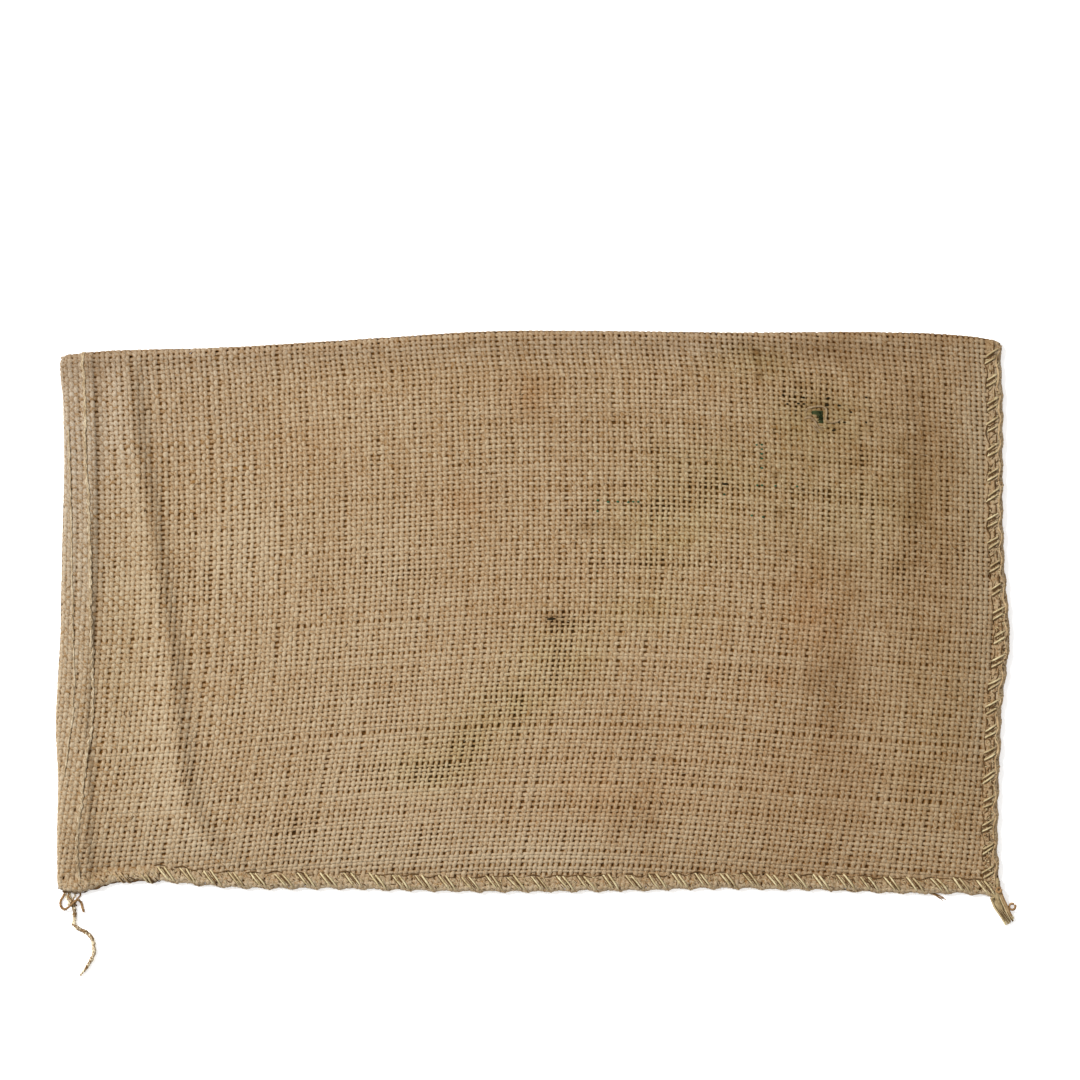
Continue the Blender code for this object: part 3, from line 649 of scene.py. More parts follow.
def over_lower(x, y):
    """The same for the lower panel, whose outer face lies on the floor."""
    lip = past_edges(x, y)[0]
    along, across = on_cloth(x, y)
    along = np.clip(along, LIP_RADIUS, SACK_LENGTH - SEAM_UNDERCUT)
    across = np.clip(across, SEAM_UNDERCUT, SACK_WIDTH - FOLD_UNDERCUT)
    px, py = laid_out(*rounded_corner(along, across))
    px, climb = round_lip(px, lip)
    return np.stack([px, py, climb + 0 * px], axis=-1)


def raised(x, y, lift):
    """Points over the upper panel's face at laid-flat places, lifted off it."""
    points, normals = with_normal(over_upper, x, y)
    return points + normals * np.broadcast_to(lift, len(points))[:, None]


def with_normal(place, x, y, facing=1.0, step=0.0004):
    """A surface's points and the unit normals there."""
    run = place(x + step, y) - place(x - step, y)
    rise = place(x, y + step) - place(x, y - step)
    normal = facing * np.cross(run, rise)
    length = np.linalg.norm(normal, axis=-1, keepdims=True)
    flat = np.zeros_like(normal)
    flat[..., 2] = facing
    normal = np.where(length > 1e-12, normal / np.maximum(length, 1e-12), flat)
    return place(x, y), normal


def skewed(x, y):
    """Where a point of the square weave has come to lie."""
    ease = 1.0 - LEAN_EASE * smooth((x - LEAN_EASE_FROM) / LEAN_EASE_RUN)
    return x + through(LEAN, y) * ease, y + through(SAG, x)


def soft_noise(rng, lines, samples, reach):
    """One soft random line for each yarn, mostly between -1.5 and 1.5."""
    kernel = np.hanning(2 * reach + 1)
    kernel /= np.sqrt((kernel ** 2).sum())
    rough = rng.normal(size=(lines, samples + 2 * reach))
    return np.array([np.convolve(row, kernel, "valid") for row in rough])


def mottle(x, y, cell, seed):
    """A soft random field over the cloth, about -1 to 1, with patches of one cell."""
    size = MOTTLE_CELLS
    field = np.random.default_rng(seed).uniform(-1, 1, (size, size))
    u, v = (x + MOTTLE_SHIFT) / cell, (y + MOTTLE_SHIFT) / cell
    i, j = np.floor(u).astype(int), np.floor(v).astype(int)
    fu, fv = smooth(u - i), smooth(v - j)
    i, j = i % (size - 1), j % (size - 1)
    low = lerp(field[i, j], field[i + 1, j], fu)
    high = lerp(field[i, j + 1], field[i + 1, j + 1], fu)
    return lerp(low, high, fv)


def looseness(x, y):
    """Share taken off the yarns' width: above 0 the weave is open, below 0 close."""
    total = OPENNESS * blobs(LOOSE_PATCHES, x, y, MM)
    total -= CLOSENESS * blobs(CLOSE_PATCHES, x, y, MM)
    level = y - through(SAG, x)
    for across, start, stop, share in LOOSE_ROWS:
        window = smooth((x / MM - start) / ROW_FADE) * smooth((stop - x / MM) / ROW_FADE)
        total += OPENNESS * share * window * bell(level / MM - across, ROW_REACH)
    total += 0.020 * mottle(x, y, 0.011, 5) + 0.036 * mottle(x, y, 0.0048, 6)
    along, across = on_cloth(x, y)
    before_crease = smooth((through(CREASE_LINE, y) - x) / 0.010)
    total -= HEM_CLOSENESS * hem_share(along) + MOUTH_CLOSENESS * before_crease
    return total - ROLL_CLOSENESS * fade(from_seams(along, across), SEAM_WIDTH, SEAM_EDGE_RUN)


# ------------------------------------------------------------------------- making


def choose(obj):
    """Select this and nothing else."""
    bpy.ops.object.select_all(action="DESELECT")
    obj.select_set(True)
    bpy.context.view_layer.objects.active = obj


def grid(name, columns, rows):
    """A flat grid with this many points each way, to be shaped."""
    bpy.ops.object.select_all(action="DESELECT")
    bpy.ops.mesh.primitive_grid_add(
        x_subdivisions=columns - 1, y_subdivisions=rows - 1, size=1.0, location=(0, 0, 0)
    )
    obj = bpy.context.object
    obj.name = obj.data.name = name
    return obj


def set_points(obj, points):
    """Move a mesh's points to these places."""
    obj.data.vertices.foreach_set("co", np.ascontiguousarray(points, dtype=np.float32).ravel())
    obj.data.update()


def get_points(obj):
    """A mesh's points, one row each."""
    points = np.empty(len(obj.data.vertices) * 3, dtype=np.float32)
    obj.data.vertices.foreach_get("co", points)
    return points.reshape(-1, 3).astype(float)


def corner_points(obj):
    """The point under each corner of a mesh's faces."""
    corner = np.empty(len(obj.data.loops), dtype=np.int32)
    obj.data.loops.foreach_get("vertex_index", corner)
    return corner


def set_attribute(obj, name, values):
    """Give the mesh a named value at each point."""
    made = obj.data.attributes.new(name, "FLOAT", "POINT")
    made.data.foreach_set("value", np.ascontiguousarray(values, dtype=np.float32).ravel())


def set_map(obj, name, u, v):
    """Give the mesh a UV map from one pair of values for each point."""
    layer = obj.data.uv_layers.get(name) or obj.data.uv_layers.new(name=name)
    corner = corner_points(obj)
    pairs = np.stack([np.ravel(u)[corner], np.ravel(v)[corner]], axis=-1)
    layer.data.foreach_set("uv", pairs.astype(np.float32).ravel())


def edit_whole(obj, step, **settings):
    """Run one editing step on a whole mesh."""
    choose(obj)
    bpy.ops.object.mode_set(mode="EDIT")
    bpy.ops.mesh.select_all(action="SELECT")
    step(**settings)
    bpy.ops.object.mode_set(mode="OBJECT")


def drop_faces(obj, unwanted):
    """Delete the marked faces, with the points that only they use."""
    choose(obj)
    bpy.ops.object.mode_set(mode="EDIT")
    bpy.ops.mesh.select_mode(type="FACE")
    bpy.ops.mesh.select_all(action="DESELECT")
    bpy.ops.object.mode_set(mode="OBJECT")
    obj.data.polygons.foreach_set("select", unwanted)
    bpy.ops.object.mode_set(mode="EDIT")
    bpy.ops.mesh.delete(type="FACE")
    bpy.ops.object.mode_set(mode="OBJECT")


def finish_piece(obj, finish):
    """Smooth shading, material and body of a made piece."""
    choose(obj)
    bpy.ops.object.shade_smooth()
    if not obj.data.materials:
        obj.data.materials.append(finishes()[finish])
    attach(obj, "root")
    return obj


def strands(name, routes, radii, finish, slot="twine", sides=6):
    """Round strands along their routes, as one finished piece."""
    curve = bpy.data.curves.new(name, "CURVE")
    curve.dimensions = "3D"
    curve.bevel_depth = 1.0
    curve.bevel_resolution = (sides - 4) // 2
    curve.use_fill_caps = True
    for route, radius in zip(routes, radii):
        spline = curve.splines.new("POLY")
        spline.points.add(len(route) - 1)
        sizes = np.broadcast_to(radius, len(route)).astype(np.float32)
        points = np.column_stack([route, np.ones(len(route))])
        points[:, 2] = np.maximum(points[:, 2], sizes)
        spline.points.foreach_set("co", points.astype(np.float32).ravel())
        spline.points.foreach_set("radius", np.ascontiguousarray(sizes))
    obj = bpy.data.objects.new(name, curve)
    bpy.context.scene.collection.objects.link(obj)
    choose(obj)
    bpy.ops.object.convert(target="MESH")
    obj = bpy.context.object
    obj.name = obj.data.name = name
    return finish_piece(obj, finish)


def smooth_route(points, per_span):
    """Points of a smooth curve through a route's points."""
    points = np.array(points, dtype=float)
    route = []
    for k in range(len(points) - 1):
        p0, p1 = points[max(k - 1, 0)], points[k]
        p2, p3 = points[k + 1], points[min(k + 2, len(points) - 1)]
        for step in range(per_span):
            u = step / per_span
            along = (p2 - p0) * u + (2 * p0 - 5 * p1 + 4 * p2 - p3) * u * u
            along += (3 * p1 - p0 - 3 * p2 + p3) * u ** 3
            route.append(p1 + along / 2)
    route.append(points[-1])
    return np.array(route)


def twisted(route, count, offset, turn_length):
    """Routes of strands twisted together about one route."""
    ahead = np.gradient(route, axis=0)
    ahead /= np.linalg.norm(ahead, axis=1, keepdims=True)
    side = np.cross(ahead, (0.0, 0.0, 1.0))
    side /= np.linalg.norm(side, axis=1, keepdims=True)
    up = np.cross(side, ahead)
    steps = np.linalg.norm(np.diff(route, axis=0), axis=1)
    run = np.concatenate([[0.0], np.cumsum(steps)])
    made = []
    for k in range(count):
        turn = (2 * pi * (run / turn_length + k / count))[:, None]
        made.append(route + offset * (np.cos(turn) * side + np.sin(turn) * up))
    return made


# ------------------------------------------------------------------------ finishes


def feed(tree, target, inputs):
    """Feed a node's inputs with plain values or with other nodes."""
    for key, value in inputs.items():
        if isinstance(value, NodeSocket):
            tree.links.new(value, target.inputs[key])
        else:
            target.inputs[key].default_value = value


def node(tree, kind, inputs=None, **settings):
    """Add a node, with its settings and what feeds its inputs."""
    made = tree.nodes.new(kind)
    for key, value in settings.items():
        setattr(made, key, value)
    feed(tree, made, inputs or {})
    return made


def math_node(tree, operation, first, second=0.0, third=0.0):
    """The result of a math node."""
    inputs = {0: first, 1: second, 2: third}
    return node(tree, "ShaderNodeMath", inputs, operation=operation).outputs[0]


def times(tree, value, factor, plus=0.0):
    """A value times a factor, plus what is to be added."""
    return math_node(tree, "MULTIPLY_ADD", value, factor, plus)


def mixed(tree, share, first, second, mode="MIX"):
    """Two colours mixed by a share."""
    inputs = {0: share, 6: first, 7: second}
    return node(tree, "ShaderNodeMix", inputs, data_type="RGBA", blend_type=mode).outputs[2]


def tinted(tree, share, colour, tint):
    """A colour multiplied by a tint as far as a share says."""
    return mixed(tree, share, colour, (*tint, 1.0), "MULTIPLY")


def noise(tree, place, scale, detail, **more):
    """Noise over a place."""
    inputs = {"Vector": place, "Scale": scale, "Detail": detail, **more}
    return node(tree, "ShaderNodeTexNoise", inputs).outputs[0]


def bumped(tree, height, strength, distance, **more):
    """A normal bumped by a height."""
    inputs = {"Height": height, "Strength": strength, "Distance": distance, **more}
    return node(tree, "ShaderNodeBump", inputs).outputs[0]


def parts_of(tree, vector):
    """A vector's X, Y and Z."""
    return node(tree, "ShaderNodeSeparateXYZ", {0: vector}).outputs


def joined(tree, x, y):
    """A vector from X and Y."""
    return node(tree, "ShaderNodeCombineXYZ", {0: x, 1: y}).outputs[0]


def object_place(tree):
    """Each point's place in metres."""
    return node(tree, "ShaderNodeTexCoord").outputs["Object"]


def spread(tree, value, low, high, to_low=0.0, to_high=1.0):
    """A value moved from one range to another, held at its ends."""
    inputs = {0: value, 1: low, 2: high, 3: to_low, 4: to_high}
    return node(tree, "ShaderNodeMapRange", inputs).outputs[0]


def new_group(name, inputs, outputs):
    """An empty node group with named inputs and outputs."""
    tree = bpy.data.node_groups.new(name, "ShaderNodeTree")
    for label, kind, default in inputs:
        socket = tree.interface.new_socket(label, in_out="INPUT", socket_type="NodeSocket" + kind)
        if default is not None:
            socket.default_value = default
    for label, kind in outputs:
        tree.interface.new_socket(label, in_out="OUTPUT", socket_type="NodeSocket" + kind)
    return tree, tree.nodes.new("NodeGroupInput").outputs, tree.nodes.new("NodeGroupOutput")


def fibre_group():
    """Fine streaks of twisted fibre along a strand, from a map in millimetres."""
    tree, given, out = new_group(
        "twisted_fibre",
        (("Run", "Vector", None), ("Twist", "Float", 0.5), ("Fineness", "Float", 1.0)),
        (("Streak", "Float"), ("Drift", "Float"), ("Height", "Float")),
    )
    parts = parts_of(tree, given["Run"])
    leaning = times(tree, parts[0], given["Twist"], parts[1])
    fine = times(tree, leaning, given["Fineness"])
    streak_at = joined(tree, times(tree, parts[0], 0.10), fine)
    streak = noise(tree, streak_at, 2.6, 3.0, Roughness=0.6)
    drift_at = joined(tree, times(tree, parts[0], 0.16), times(tree, parts[1], 0.7))
    drift = noise(tree, drift_at, 1.0, 2.0)
    feed(tree, out, {
        "Streak": spread(tree, streak, 0.30, 0.70),
        "Drift": spread(tree, drift, 0.30, 0.70),
        "Height": streak,
    })
    return tree


def crossing_group():
    """Painted shade of a yarn down in the weave, from its crossings and its sides, and a height for its
    bump.
    """
    tree, given, out = new_group(
        "woven_crossing",
        (("Crossing", "Vector", None), ("Fray", "Float", 0.0), ("Open", "Float", 0.0)),
        (("Shade", "Float"), ("Height", "Float")),
    )
    parts = parts_of(tree, given["Crossing"])
    cosine = math_node(tree, "COSINE", times(tree, parts[0], pi))
    phase = math_node(tree, "ADD", cosine, given["Fray"])
    side = times(tree, given["Fray"], -0.5, math_node(tree, "ABSOLUTE", parts[1]))
    # Painted shade where a yarn dives under at its ends, at its sides and at the holes by its corners;
    # more where Open is higher.
    end = spread(tree, phase, 0.15, -0.30, 0.0, 0.24)
    edge = spread(tree, side, 0.76, 1.0, 0.0, 0.18)
    corner_end = spread(tree, phase, 0.72, 0.22)
    corner_edge = spread(tree, side, 0.52, 0.92, 0.0, 0.95)
    corner_edge = times(tree, corner_edge, times(tree, given["Open"], 0.35, 1.0))
    shade = times(tree, corner_end, corner_edge, math_node(tree, "ADD", end, edge))
    round_side = times(tree, times(tree, side, side), -0.8, 1.0)
    feed(tree, out, {
        "Shade": spread(tree, shade, 0.0, 1.0),
        "Height": times(tree, phase, 0.4, round_side),
    })
    return tree


def stain_and_shade_group():
    """Bleach, dirt with painted shade, an olive tint and a rust tint laid over a colour by masks."""
    masks = ((mark, "Float", 0.0) for mark in STAIN_AND_SHADE_TINTS)
    tree, given, out = new_group("stained_and_shaded", (("Color", "Color", None), *masks), (("Color", "Color"),))
    colour = given["Color"]
    for mark, tint in STAIN_AND_SHADE_TINTS.items():
        colour = tinted(tree, given[mark], colour, tint)
    feed(tree, out, {"Color": colour})
    return tree


def new_material(name, roughness):
    """A matt material, its node tree and its shader."""
    material = bpy.data.materials.new(name)
    material.use_nodes = True
    shader = material.node_tree.nodes["Principled BSDF"]
    shader.inputs["Roughness"].default_value = roughness
    shader.inputs["Specular IOR Level"].default_value = 0.06
    return material, material.node_tree, shader


def attribute(tree, name):
    """A named value that the mesh carries."""
    return node(tree, "ShaderNodeAttribute", attribute_name=name).outputs["Fac"]


def uv_map(tree, name):
    """A named UV map."""
    return node(tree, "ShaderNodeUVMap", uv_map=name).outputs["UV"]


def use_group(tree, group, inputs):
    """The outputs of a group placed in a material."""
    return node(tree, "ShaderNodeGroup", inputs, node_tree=group).outputs


def with_stains_and_shade(tree, stain_and_shade, colour):
    """A colour under the stain and painted-shade masks that a piece of cloth carries."""
    masks = {mark: attribute(tree, mark.lower()) for mark in STAIN_AND_SHADE_TINTS}
    return use_group(tree, stain_and_shade, {"Color": colour, **masks})["Color"]


def yarn_material(fibre, crossing, stain_and_shade, colours):
    """Woven jute yarn: streaked, uneven from yarn to yarn, with painted brown shade down in the weave.
    """
    material, tree, shader = new_material("woven_jute", 0.92)
    run = {"Run": uv_map(tree, "YarnRun"), "Twist": 0.55, "Fineness": 0.75}
    streaks = use_group(tree, fibre, run)
    tone = times(tree, streaks["Streak"], 0.74, attribute(tree, "tone"))
    tone = times(tree, streaks["Drift"], 0.10, tone)
    fuzz = noise(tree, object_place(tree), 1000.0, 3.0, Roughness=0.80)
    fray = spread(tree, fuzz, 0.3, 0.7, -0.48, 0.48)
    blurred = attribute(tree, "felted")
    tone = times(tree, fray, times(tree, blurred, 0.90, 0.90), tone)
    pale, deep = (*colours.yarn_pale, 1.0), (*colours.yarn_deep, 1.0)
    colour = mixed(tree, spread(tree, tone, 0.0, 1.0), pale, deep)
    at = {"Crossing": uv_map(tree, "Crossing"), "Fray": fray, "Open": attribute(tree, "open")}
    woven = use_group(tree, crossing, at)
    # Painted shade in the weave, as a brown multiply, weaker where the weave is felted.
    low = times(tree, woven["Shade"], times(tree, blurred, -0.75, 1.0))
    colour = tinted(tree, low, colour, (0.42, 0.25, 0.09))
    rounded = bumped(tree, woven["Height"], 0.30, 0.0003)
    uneven = times(tree, fuzz, 0.8, streaks["Height"])
    feed(tree, shader, {
        "Base Color": with_stains_and_shade(tree, stain_and_shade, colour),
        "Roughness": spread(tree, streaks["Streak"], 0.0, 1.0, 0.82, 0.98),
        "Normal": bumped(tree, uneven, 0.6, 0.0003, Normal=rounded),
    })
    return material


def ply_material(stain_and_shade, colours):
    """The inside of the cloth seen between the yarns, painted in the colours of its shade."""
    material, tree, shader = new_material("shadowed_jute", 0.96)
    fleck = noise(tree, object_place(tree), 900.0, 2.0)
    shade, deep = (*colours.hole_shade, 1.0), (*colours.hole_deep, 1.0)
    colour = mixed(tree, spread(tree, fleck, 0.35, 0.65), deep, shade)
    colour = tinted(tree, attribute(tree, "olive"), colour, (0.55, 0.90, 0.55))
    # Painted shade: darker where the weave is open.
    colour = tinted(tree, attribute(tree, "open"), colour, (0.16, 0.20, 0.20))
    feed(tree, shader, {
        "Base Color": with_stains_and_shade(tree, stain_and_shade, colour),
        "Normal": bumped(tree, fleck, 0.4, 0.0002),
    })
    return material


def pocket_material(colours):
    """The cloth's inner face, woven in the surface alone, painted as shade in the deep yarn colour and
    the hole shade.
    """
    material, tree, shader = new_material("inner_jute", 0.95)
    place = object_place(tree)
    parts = parts_of(tree, place)
    cross = math_node(tree, "SINE", times(tree, parts[0], 2 * pi / CROSS_PITCH))
    long = math_node(tree, "SINE", times(tree, parts[1], 2 * pi / LONG_PITCH))
    ridge = math_node(tree, "MAXIMUM", cross, long)
    height = times(tree, times(tree, cross, long), 0.35, ridge)
    pale, deep = (*colours.yarn_deep, 1.0), (*colours.hole_shade, 1.0)
    colour = mixed(tree, spread(tree, height, -0.9, 0.3), deep, pale)
    fleck = spread(tree, noise(tree, place, 420.0, 3.0), 0.3, 0.7, 0.0, 0.6)
    feed(tree, shader, {
        "Base Color": tinted(tree, fleck, colour, (0.6, 0.52, 0.44)),
        "Normal": bumped(tree, height, 0.7, 0.0005),
    })
    return material


def thread_material(name, pale, deep, roughness, change=(0.42, 0.80)):
    """Loose or sewn strand, mottled from pale to deep over this range of its noise."""
    material, tree, shader = new_material(name, roughness)
    place = object_place(tree)
    fine, wide = noise(tree, place, 1400.0, 3.0), noise(tree, place, 260.0, 2.0)
    tone = times(tree, fine, 0.6, times(tree, wide, 0.6))
    feed(tree, shader, {
        "Base Color": mixed(tree, spread(tree, tone, *change), (*pale, 1.0), (*deep, 1.0)),
        "Normal": bumped(tree, fine, 0.5, 0.0002),
    })
    return material


def finishes():
    """Every material by name, made once."""
    made = getattr(finishes, "made", None)
    if made is None:
        colours = bpy.context.scene.sack_colours
        fibre, crossing, stain_and_shade = fibre_group(), crossing_group(), stain_and_shade_group()
        made = {
            "yarn": yarn_material(fibre, crossing, stain_and_shade, colours),
            "ply": ply_material(stain_and_shade, colours),
            "pocket": pocket_material(colours),
        }
        for name, look in STRAND_FINISHES.items():
            made[name] = thread_material(*look)
        finishes.made = made
    return made


# -------------------------------------------------------------------------- pieces


def yarn_places(first, pitch, count, uneven, seed):
    """Where each yarn of a set sits, a little unevenly, more so at the set's start."""
    rng = np.random.default_rng(seed)
    stray = uneven * lerp(1.5, 0.6, smooth((np.arange(count) * pitch - 0.10) / 0.12))
    return first + (np.arange(count) + stray * rng.uniform(-1, 1, count)) * pitch


def stain_and_shade_masks(obj, x, y):
    """Give a piece of cloth its stain masks, whose dirt mask also holds painted shade."""
    fine = 1.0 + 0.4 * mottle(x, y, 0.006, 8)
    masks = {
        "soil_and_shade": blobs(SOIL_AND_SHADE, x, y, MM) * fine + painted_edge_shade(x, y),
        "olive": blobs(OLIVE, x, y, MM) * fine,
        "rust": blobs(RUST, x, y, MM) * fine,
        "bleach": blobs(BLEACH, x, y, MM),
    }
    for name, mask in masks.items():
        set_attribute(obj, name, np.clip(mask, 0, 1))


def painted_edge_shade(x, y):
    """Painted shade: in the groove inside each rolled seam, over the inner part of each roll, along the
    fold, beside the hem and in the crease's lee.
    """
    along, across = on_cloth(x, y)
    from_seam = from_seams(along, across)
    groove = 0.20 * bell(from_seam - SEAM_WIDTH - 0.0006, 0.0011)
    from_fold = np.maximum(SACK_WIDTH - across, 0.0)
    fold = 0.28 * np.exp(-from_fold / 0.008) + 0.10 * np.exp(-from_fold / 0.002)
    roll = np.where(across < SACK_LENGTH - along, 0.30, 0.34) * fade(from_seam, SEAM_WIDTH, 0.0006)
    roll = roll * smooth((from_seam - 0.0026) / 0.0040)
    past_hem = along - HEM_WIDTH
    hem = 0.21 * smooth((past_hem + 0.0025) / 0.002) * smooth((0.0075 - past_hem) / 0.006)
    past = x - through(CREASE_LINE, y) + 0.0006
    lee = np.where(past > 0, np.exp(-past / 0.007), bell(past, 0.0010))
    return groove + roll + fold + hem + 0.25 * lee * crease_fade(y)


def felted(x, y):
    """How far rolling and doubling have blurred the weave: most on the seams, less on the hem."""
    along, across = on_cloth(x, y)
    roll = 0.80 * fade(from_seams(along, across), SEAM_WIDTH - 0.0004, 0.0012)
    lip = 0.85 * fade(along, 0.0012, 0.0020)
    return np.maximum(np.maximum(roll, lip), 0.40 * hem_share(along))


def crease_fade(y):
    """1 along the crease, 0 past its ends."""
    return smooth((y - CREASE_LINE[0][0]) / 0.02) * smooth((0.140 - y) / 0.02)


def paleness(x, y):
    """How much paler the yarns are: in patches and on the hem, with a painted highlight on the crease's
    ridge and painted light on the rims of the seams and lip.
    """
    along, across = on_cloth(x, y)
    hem = HEM_PALENESS * fade(along, 0.0050, 0.003)
    ridge = RIDGE_HIGHLIGHT * bell(x - through(CREASE_LINE, y) + 0.0075, 0.0055) * crease_fade(y)
    # Painted light on the rims of the side seam, the bottom seam and the lip.
    side_rim = 0.28 * fade(across, 0.0012, 0.0030)
    bottom_rim = 0.12 * fade(SACK_LENGTH - along, 0.0012, 0.0030)
    mouth_rim = 0.16 * fade(along, 0.0010, 0.0020)
    rims = np.maximum(np.maximum(side_rim, bottom_rim), mouth_rim)
    return blobs(PALE, x, y, MM) + hem + ridge + rims


def yarn_set(name, along_x, numbers, panel, seed):
    """One set of parallel yarns, woven over and under the other set."""
    sizes = bpy.context.scene.sack_sizes
    own_pitch, other_pitch = (LONG_PITCH, CROSS_PITCH) if along_x else (CROSS_PITCH, LONG_PITCH)
    cross = yarn_places(CROSS_FIRST, CROSS_PITCH, CROSS_COUNT, CROSS_STRAY, 11)
    long = yarn_places(LONG_FIRST, LONG_PITCH, LONG_COUNT, LONG_STRAY, 12)
    own, others = (long, cross) if along_x else (cross, long)
    numbers, sides = np.array(numbers), np.array(panel["sides"])
    count, lanes, steps = len(numbers), len(sides), len(panel["stations"])
    stations = (others[:, None] + np.array(panel["stations"]) * other_pitch).ravel()
    rows = len(stations)
    obj = grid(name, count * lanes, rows)

    rng = np.random.default_rng(seed)
    drift = WANDER * (0.6 if along_x else 1.0) * soft_noise(rng, count, rows, 7 * steps).T
    drift += JITTER * soft_noise(rng, count, rows, steps).T
    uneven = LONG_UNEVEN if along_x else CROSS_UNEVEN
    slub = 1 + 0.045 * soft_noise(rng, count, rows, 3 * steps).T + uneven * rng.normal(size=count)
    slub += 0.040 * soft_noise(rng, count, rows, steps).T
    set_tone = LONG_TONE if along_x else CROSS_TONE
    tone = uneven * rng.normal(size=count) + 0.04 * soft_noise(rng, count, rows, 6 * steps).T
    tone += 0.06 * np.repeat(rng.normal(size=(rows // steps, count)), steps, axis=0)
    centre = own[numbers] + drift
    at = np.broadcast_to(stations[:, None], centre.shape)
    middle = skewed(at, centre) if along_x else skewed(centre, at)
    inner = smooth((middle[0] - EVEN_FROM) / EVEN_RUN)
    level = inner * (-1.0 if along_x else 1.0)
    tone = tone + set_tone + EVEN_TONE * level
    cover = (sizes.long_cover if along_x else sizes.cross_cover) + EVEN_COVER * level
    share = np.clip(cover * slub * (1 - looseness(*middle)), *COVER_RANGE)
    half = own_pitch / 2 * share

    crossing = np.arange(rows)[:, None] // steps
    over = np.where((crossing + numbers + along_x) % 2 == 0, 1.0, -1.0)
    wave = panel["wave"] * over * (1 + 0.14 * rng.normal(size=over.shape))
    wave *= 1 - 0.6 * felted(*middle)
    wave += -CROSS_PROUD if along_x else CROSS_PROUD
    rounding = panel["rounding"] * np.array(panel["rounds"])
    lift = panel["middle"] + wave[..., None] + rounding
    lateral = centre[..., None] + half[..., None] * sides
    run = np.broadcast_to(at[..., None], lateral.shape)
    x, y = skewed(run, lateral) if along_x else skewed(lateral, run)
    points, normals = with_normal(panel["place"], x, y, panel["facing"])
    points = points + normals * lift[..., None]
    points[..., 2] = np.maximum(points[..., 2], YARN_LEAST_HEIGHT)
    set_points(obj, points.reshape(-1, 3))

    set_attribute(obj, "tone", tone[..., None] - paleness(x, y))
    set_attribute(obj, "felted", felted(x, y))
    # How strong the painted shade by the holes is on this set.
    opened = inner * (LONG_OPEN if along_x else CROSS_OPEN)
    set_attribute(obj, "open", np.broadcast_to(opened[..., None], lift.shape))
    stain_and_shade_masks(obj, x, y)
    lane_number = numbers[:, None] * 4.0 + sides
    set_map(obj, "YarnRun", run / MM, np.broadcast_to(lane_number, lift.shape))
    passed = (np.arange(len(others))[:, None] + np.array(panel["stations"])).ravel()
    passed = passed[:, None, None] + numbers[:, None] + along_x
    passed = np.broadcast_to(passed, lift.shape)
    set_map(obj, "Crossing", passed, np.broadcast_to(sides, lift.shape))
    low_x, low_y = x.min(), y.min()
    size = max(x.max() - low_x, y.max() - low_y)
    set_map(obj, "OFBake", (x - low_x) / size, (y - low_y) / size)
    spare = obj.data.uv_layers.get("UVMap")
    if spare:
        obj.data.uv_layers.remove(spare)

    corner = corner_points(obj).reshape(-1, 4)
    outside = (~panel["kept"](x, y)).ravel()[corner].any(axis=1)
    yarn = corner % (count * lanes) // lanes
    between = yarn.min(axis=1) != yarn.max(axis=1)
    drop_faces(obj, outside | between)
    if panel["facing"] < 0:
        flip(obj)
    if along_x:
        flip(obj)
    return obj


def flip(obj):
    """Turn a piece's faces the other way out."""
    edit_whole(obj, bpy.ops.mesh.flip_normals)


def lip_reach(across, run_back):
    """How far past the lip yarns show: well inside at the mouth, less beside it."""
    in_mouth = (across > POCKET_SEAM_INSET) & (across < SACK_WIDTH - POCKET_FOLD_INSET)
    return np.where(in_mouth, pi * LIP_RADIUS + run_back, 0.8 * pi * LIP_RADIUS)


def kept_above(x, y):
    """Where the upper panel's yarns show, with their run round each edge."""
    lip, fold, seam, bottom = past_edges(x, y)
    across = on_cloth(x, y)[1]
    kept = (lip < lip_reach(across, ROOF_RETURN)) & (fold < FOLD_WRAP * WRAP_TURN)
    return kept & (seam < SEAM_WRAP * WRAP_TURN) & (bottom < SEAM_WRAP * WRAP_TURN)


def kept_below(x, y):
    """The same for the lower panel."""
    lip = past_edges(x, y)[0]
    along, across = on_cloth(x, y)
    kept = (lip < lip_reach(across, FLOOR_RETURN)) & (along < SACK_LENGTH - SEAM_UNDERCUT / 2)
    return kept & (across > SEAM_UNDERCUT / 2) & (across < SACK_WIDTH - FOLD_UNDERCUT / 2)


UPPER = {
    "place": over_upper,
    "facing": 1.0,
    "kept": kept_above,
    "sides": (-1.0, -0.55, 0.55, 1.0),
    "rounds": (-1.0, 0.0, 0.0, -1.0),
    "stations": (-PLATEAU, PLATEAU),
    "wave": WAVE_HEIGHT,
    "rounding": YARN_ROUNDING,
    "middle": CREST_ABOVE_SOLID - WAVE_HEIGHT,
}
LOWER = {
    "place": over_lower,
    "facing": -1.0,
    "kept": kept_below,
    "sides": (-1.0, 0.0, 1.0),
    "rounds": (-1.0, 0.0, -1.0),
    "stations": (0.0,),
    "wave": UNDERSIDE_WAVE,
    "rounding": UNDERSIDE_ROUNDING,
    "middle": -UNDERSIDE_WAVE,
}


def stations(near, far, end, step):
    """Line positions: close ones at both edges and even ones between."""
    start, stop = near[-1], end - far[-1]
    count = max(1, round((stop - start) / step))
    even = [lerp(start, stop, i / count) for i in range(1, count)]
    return np.array(list(near) + even + [end - gap for gap in reversed(far)])


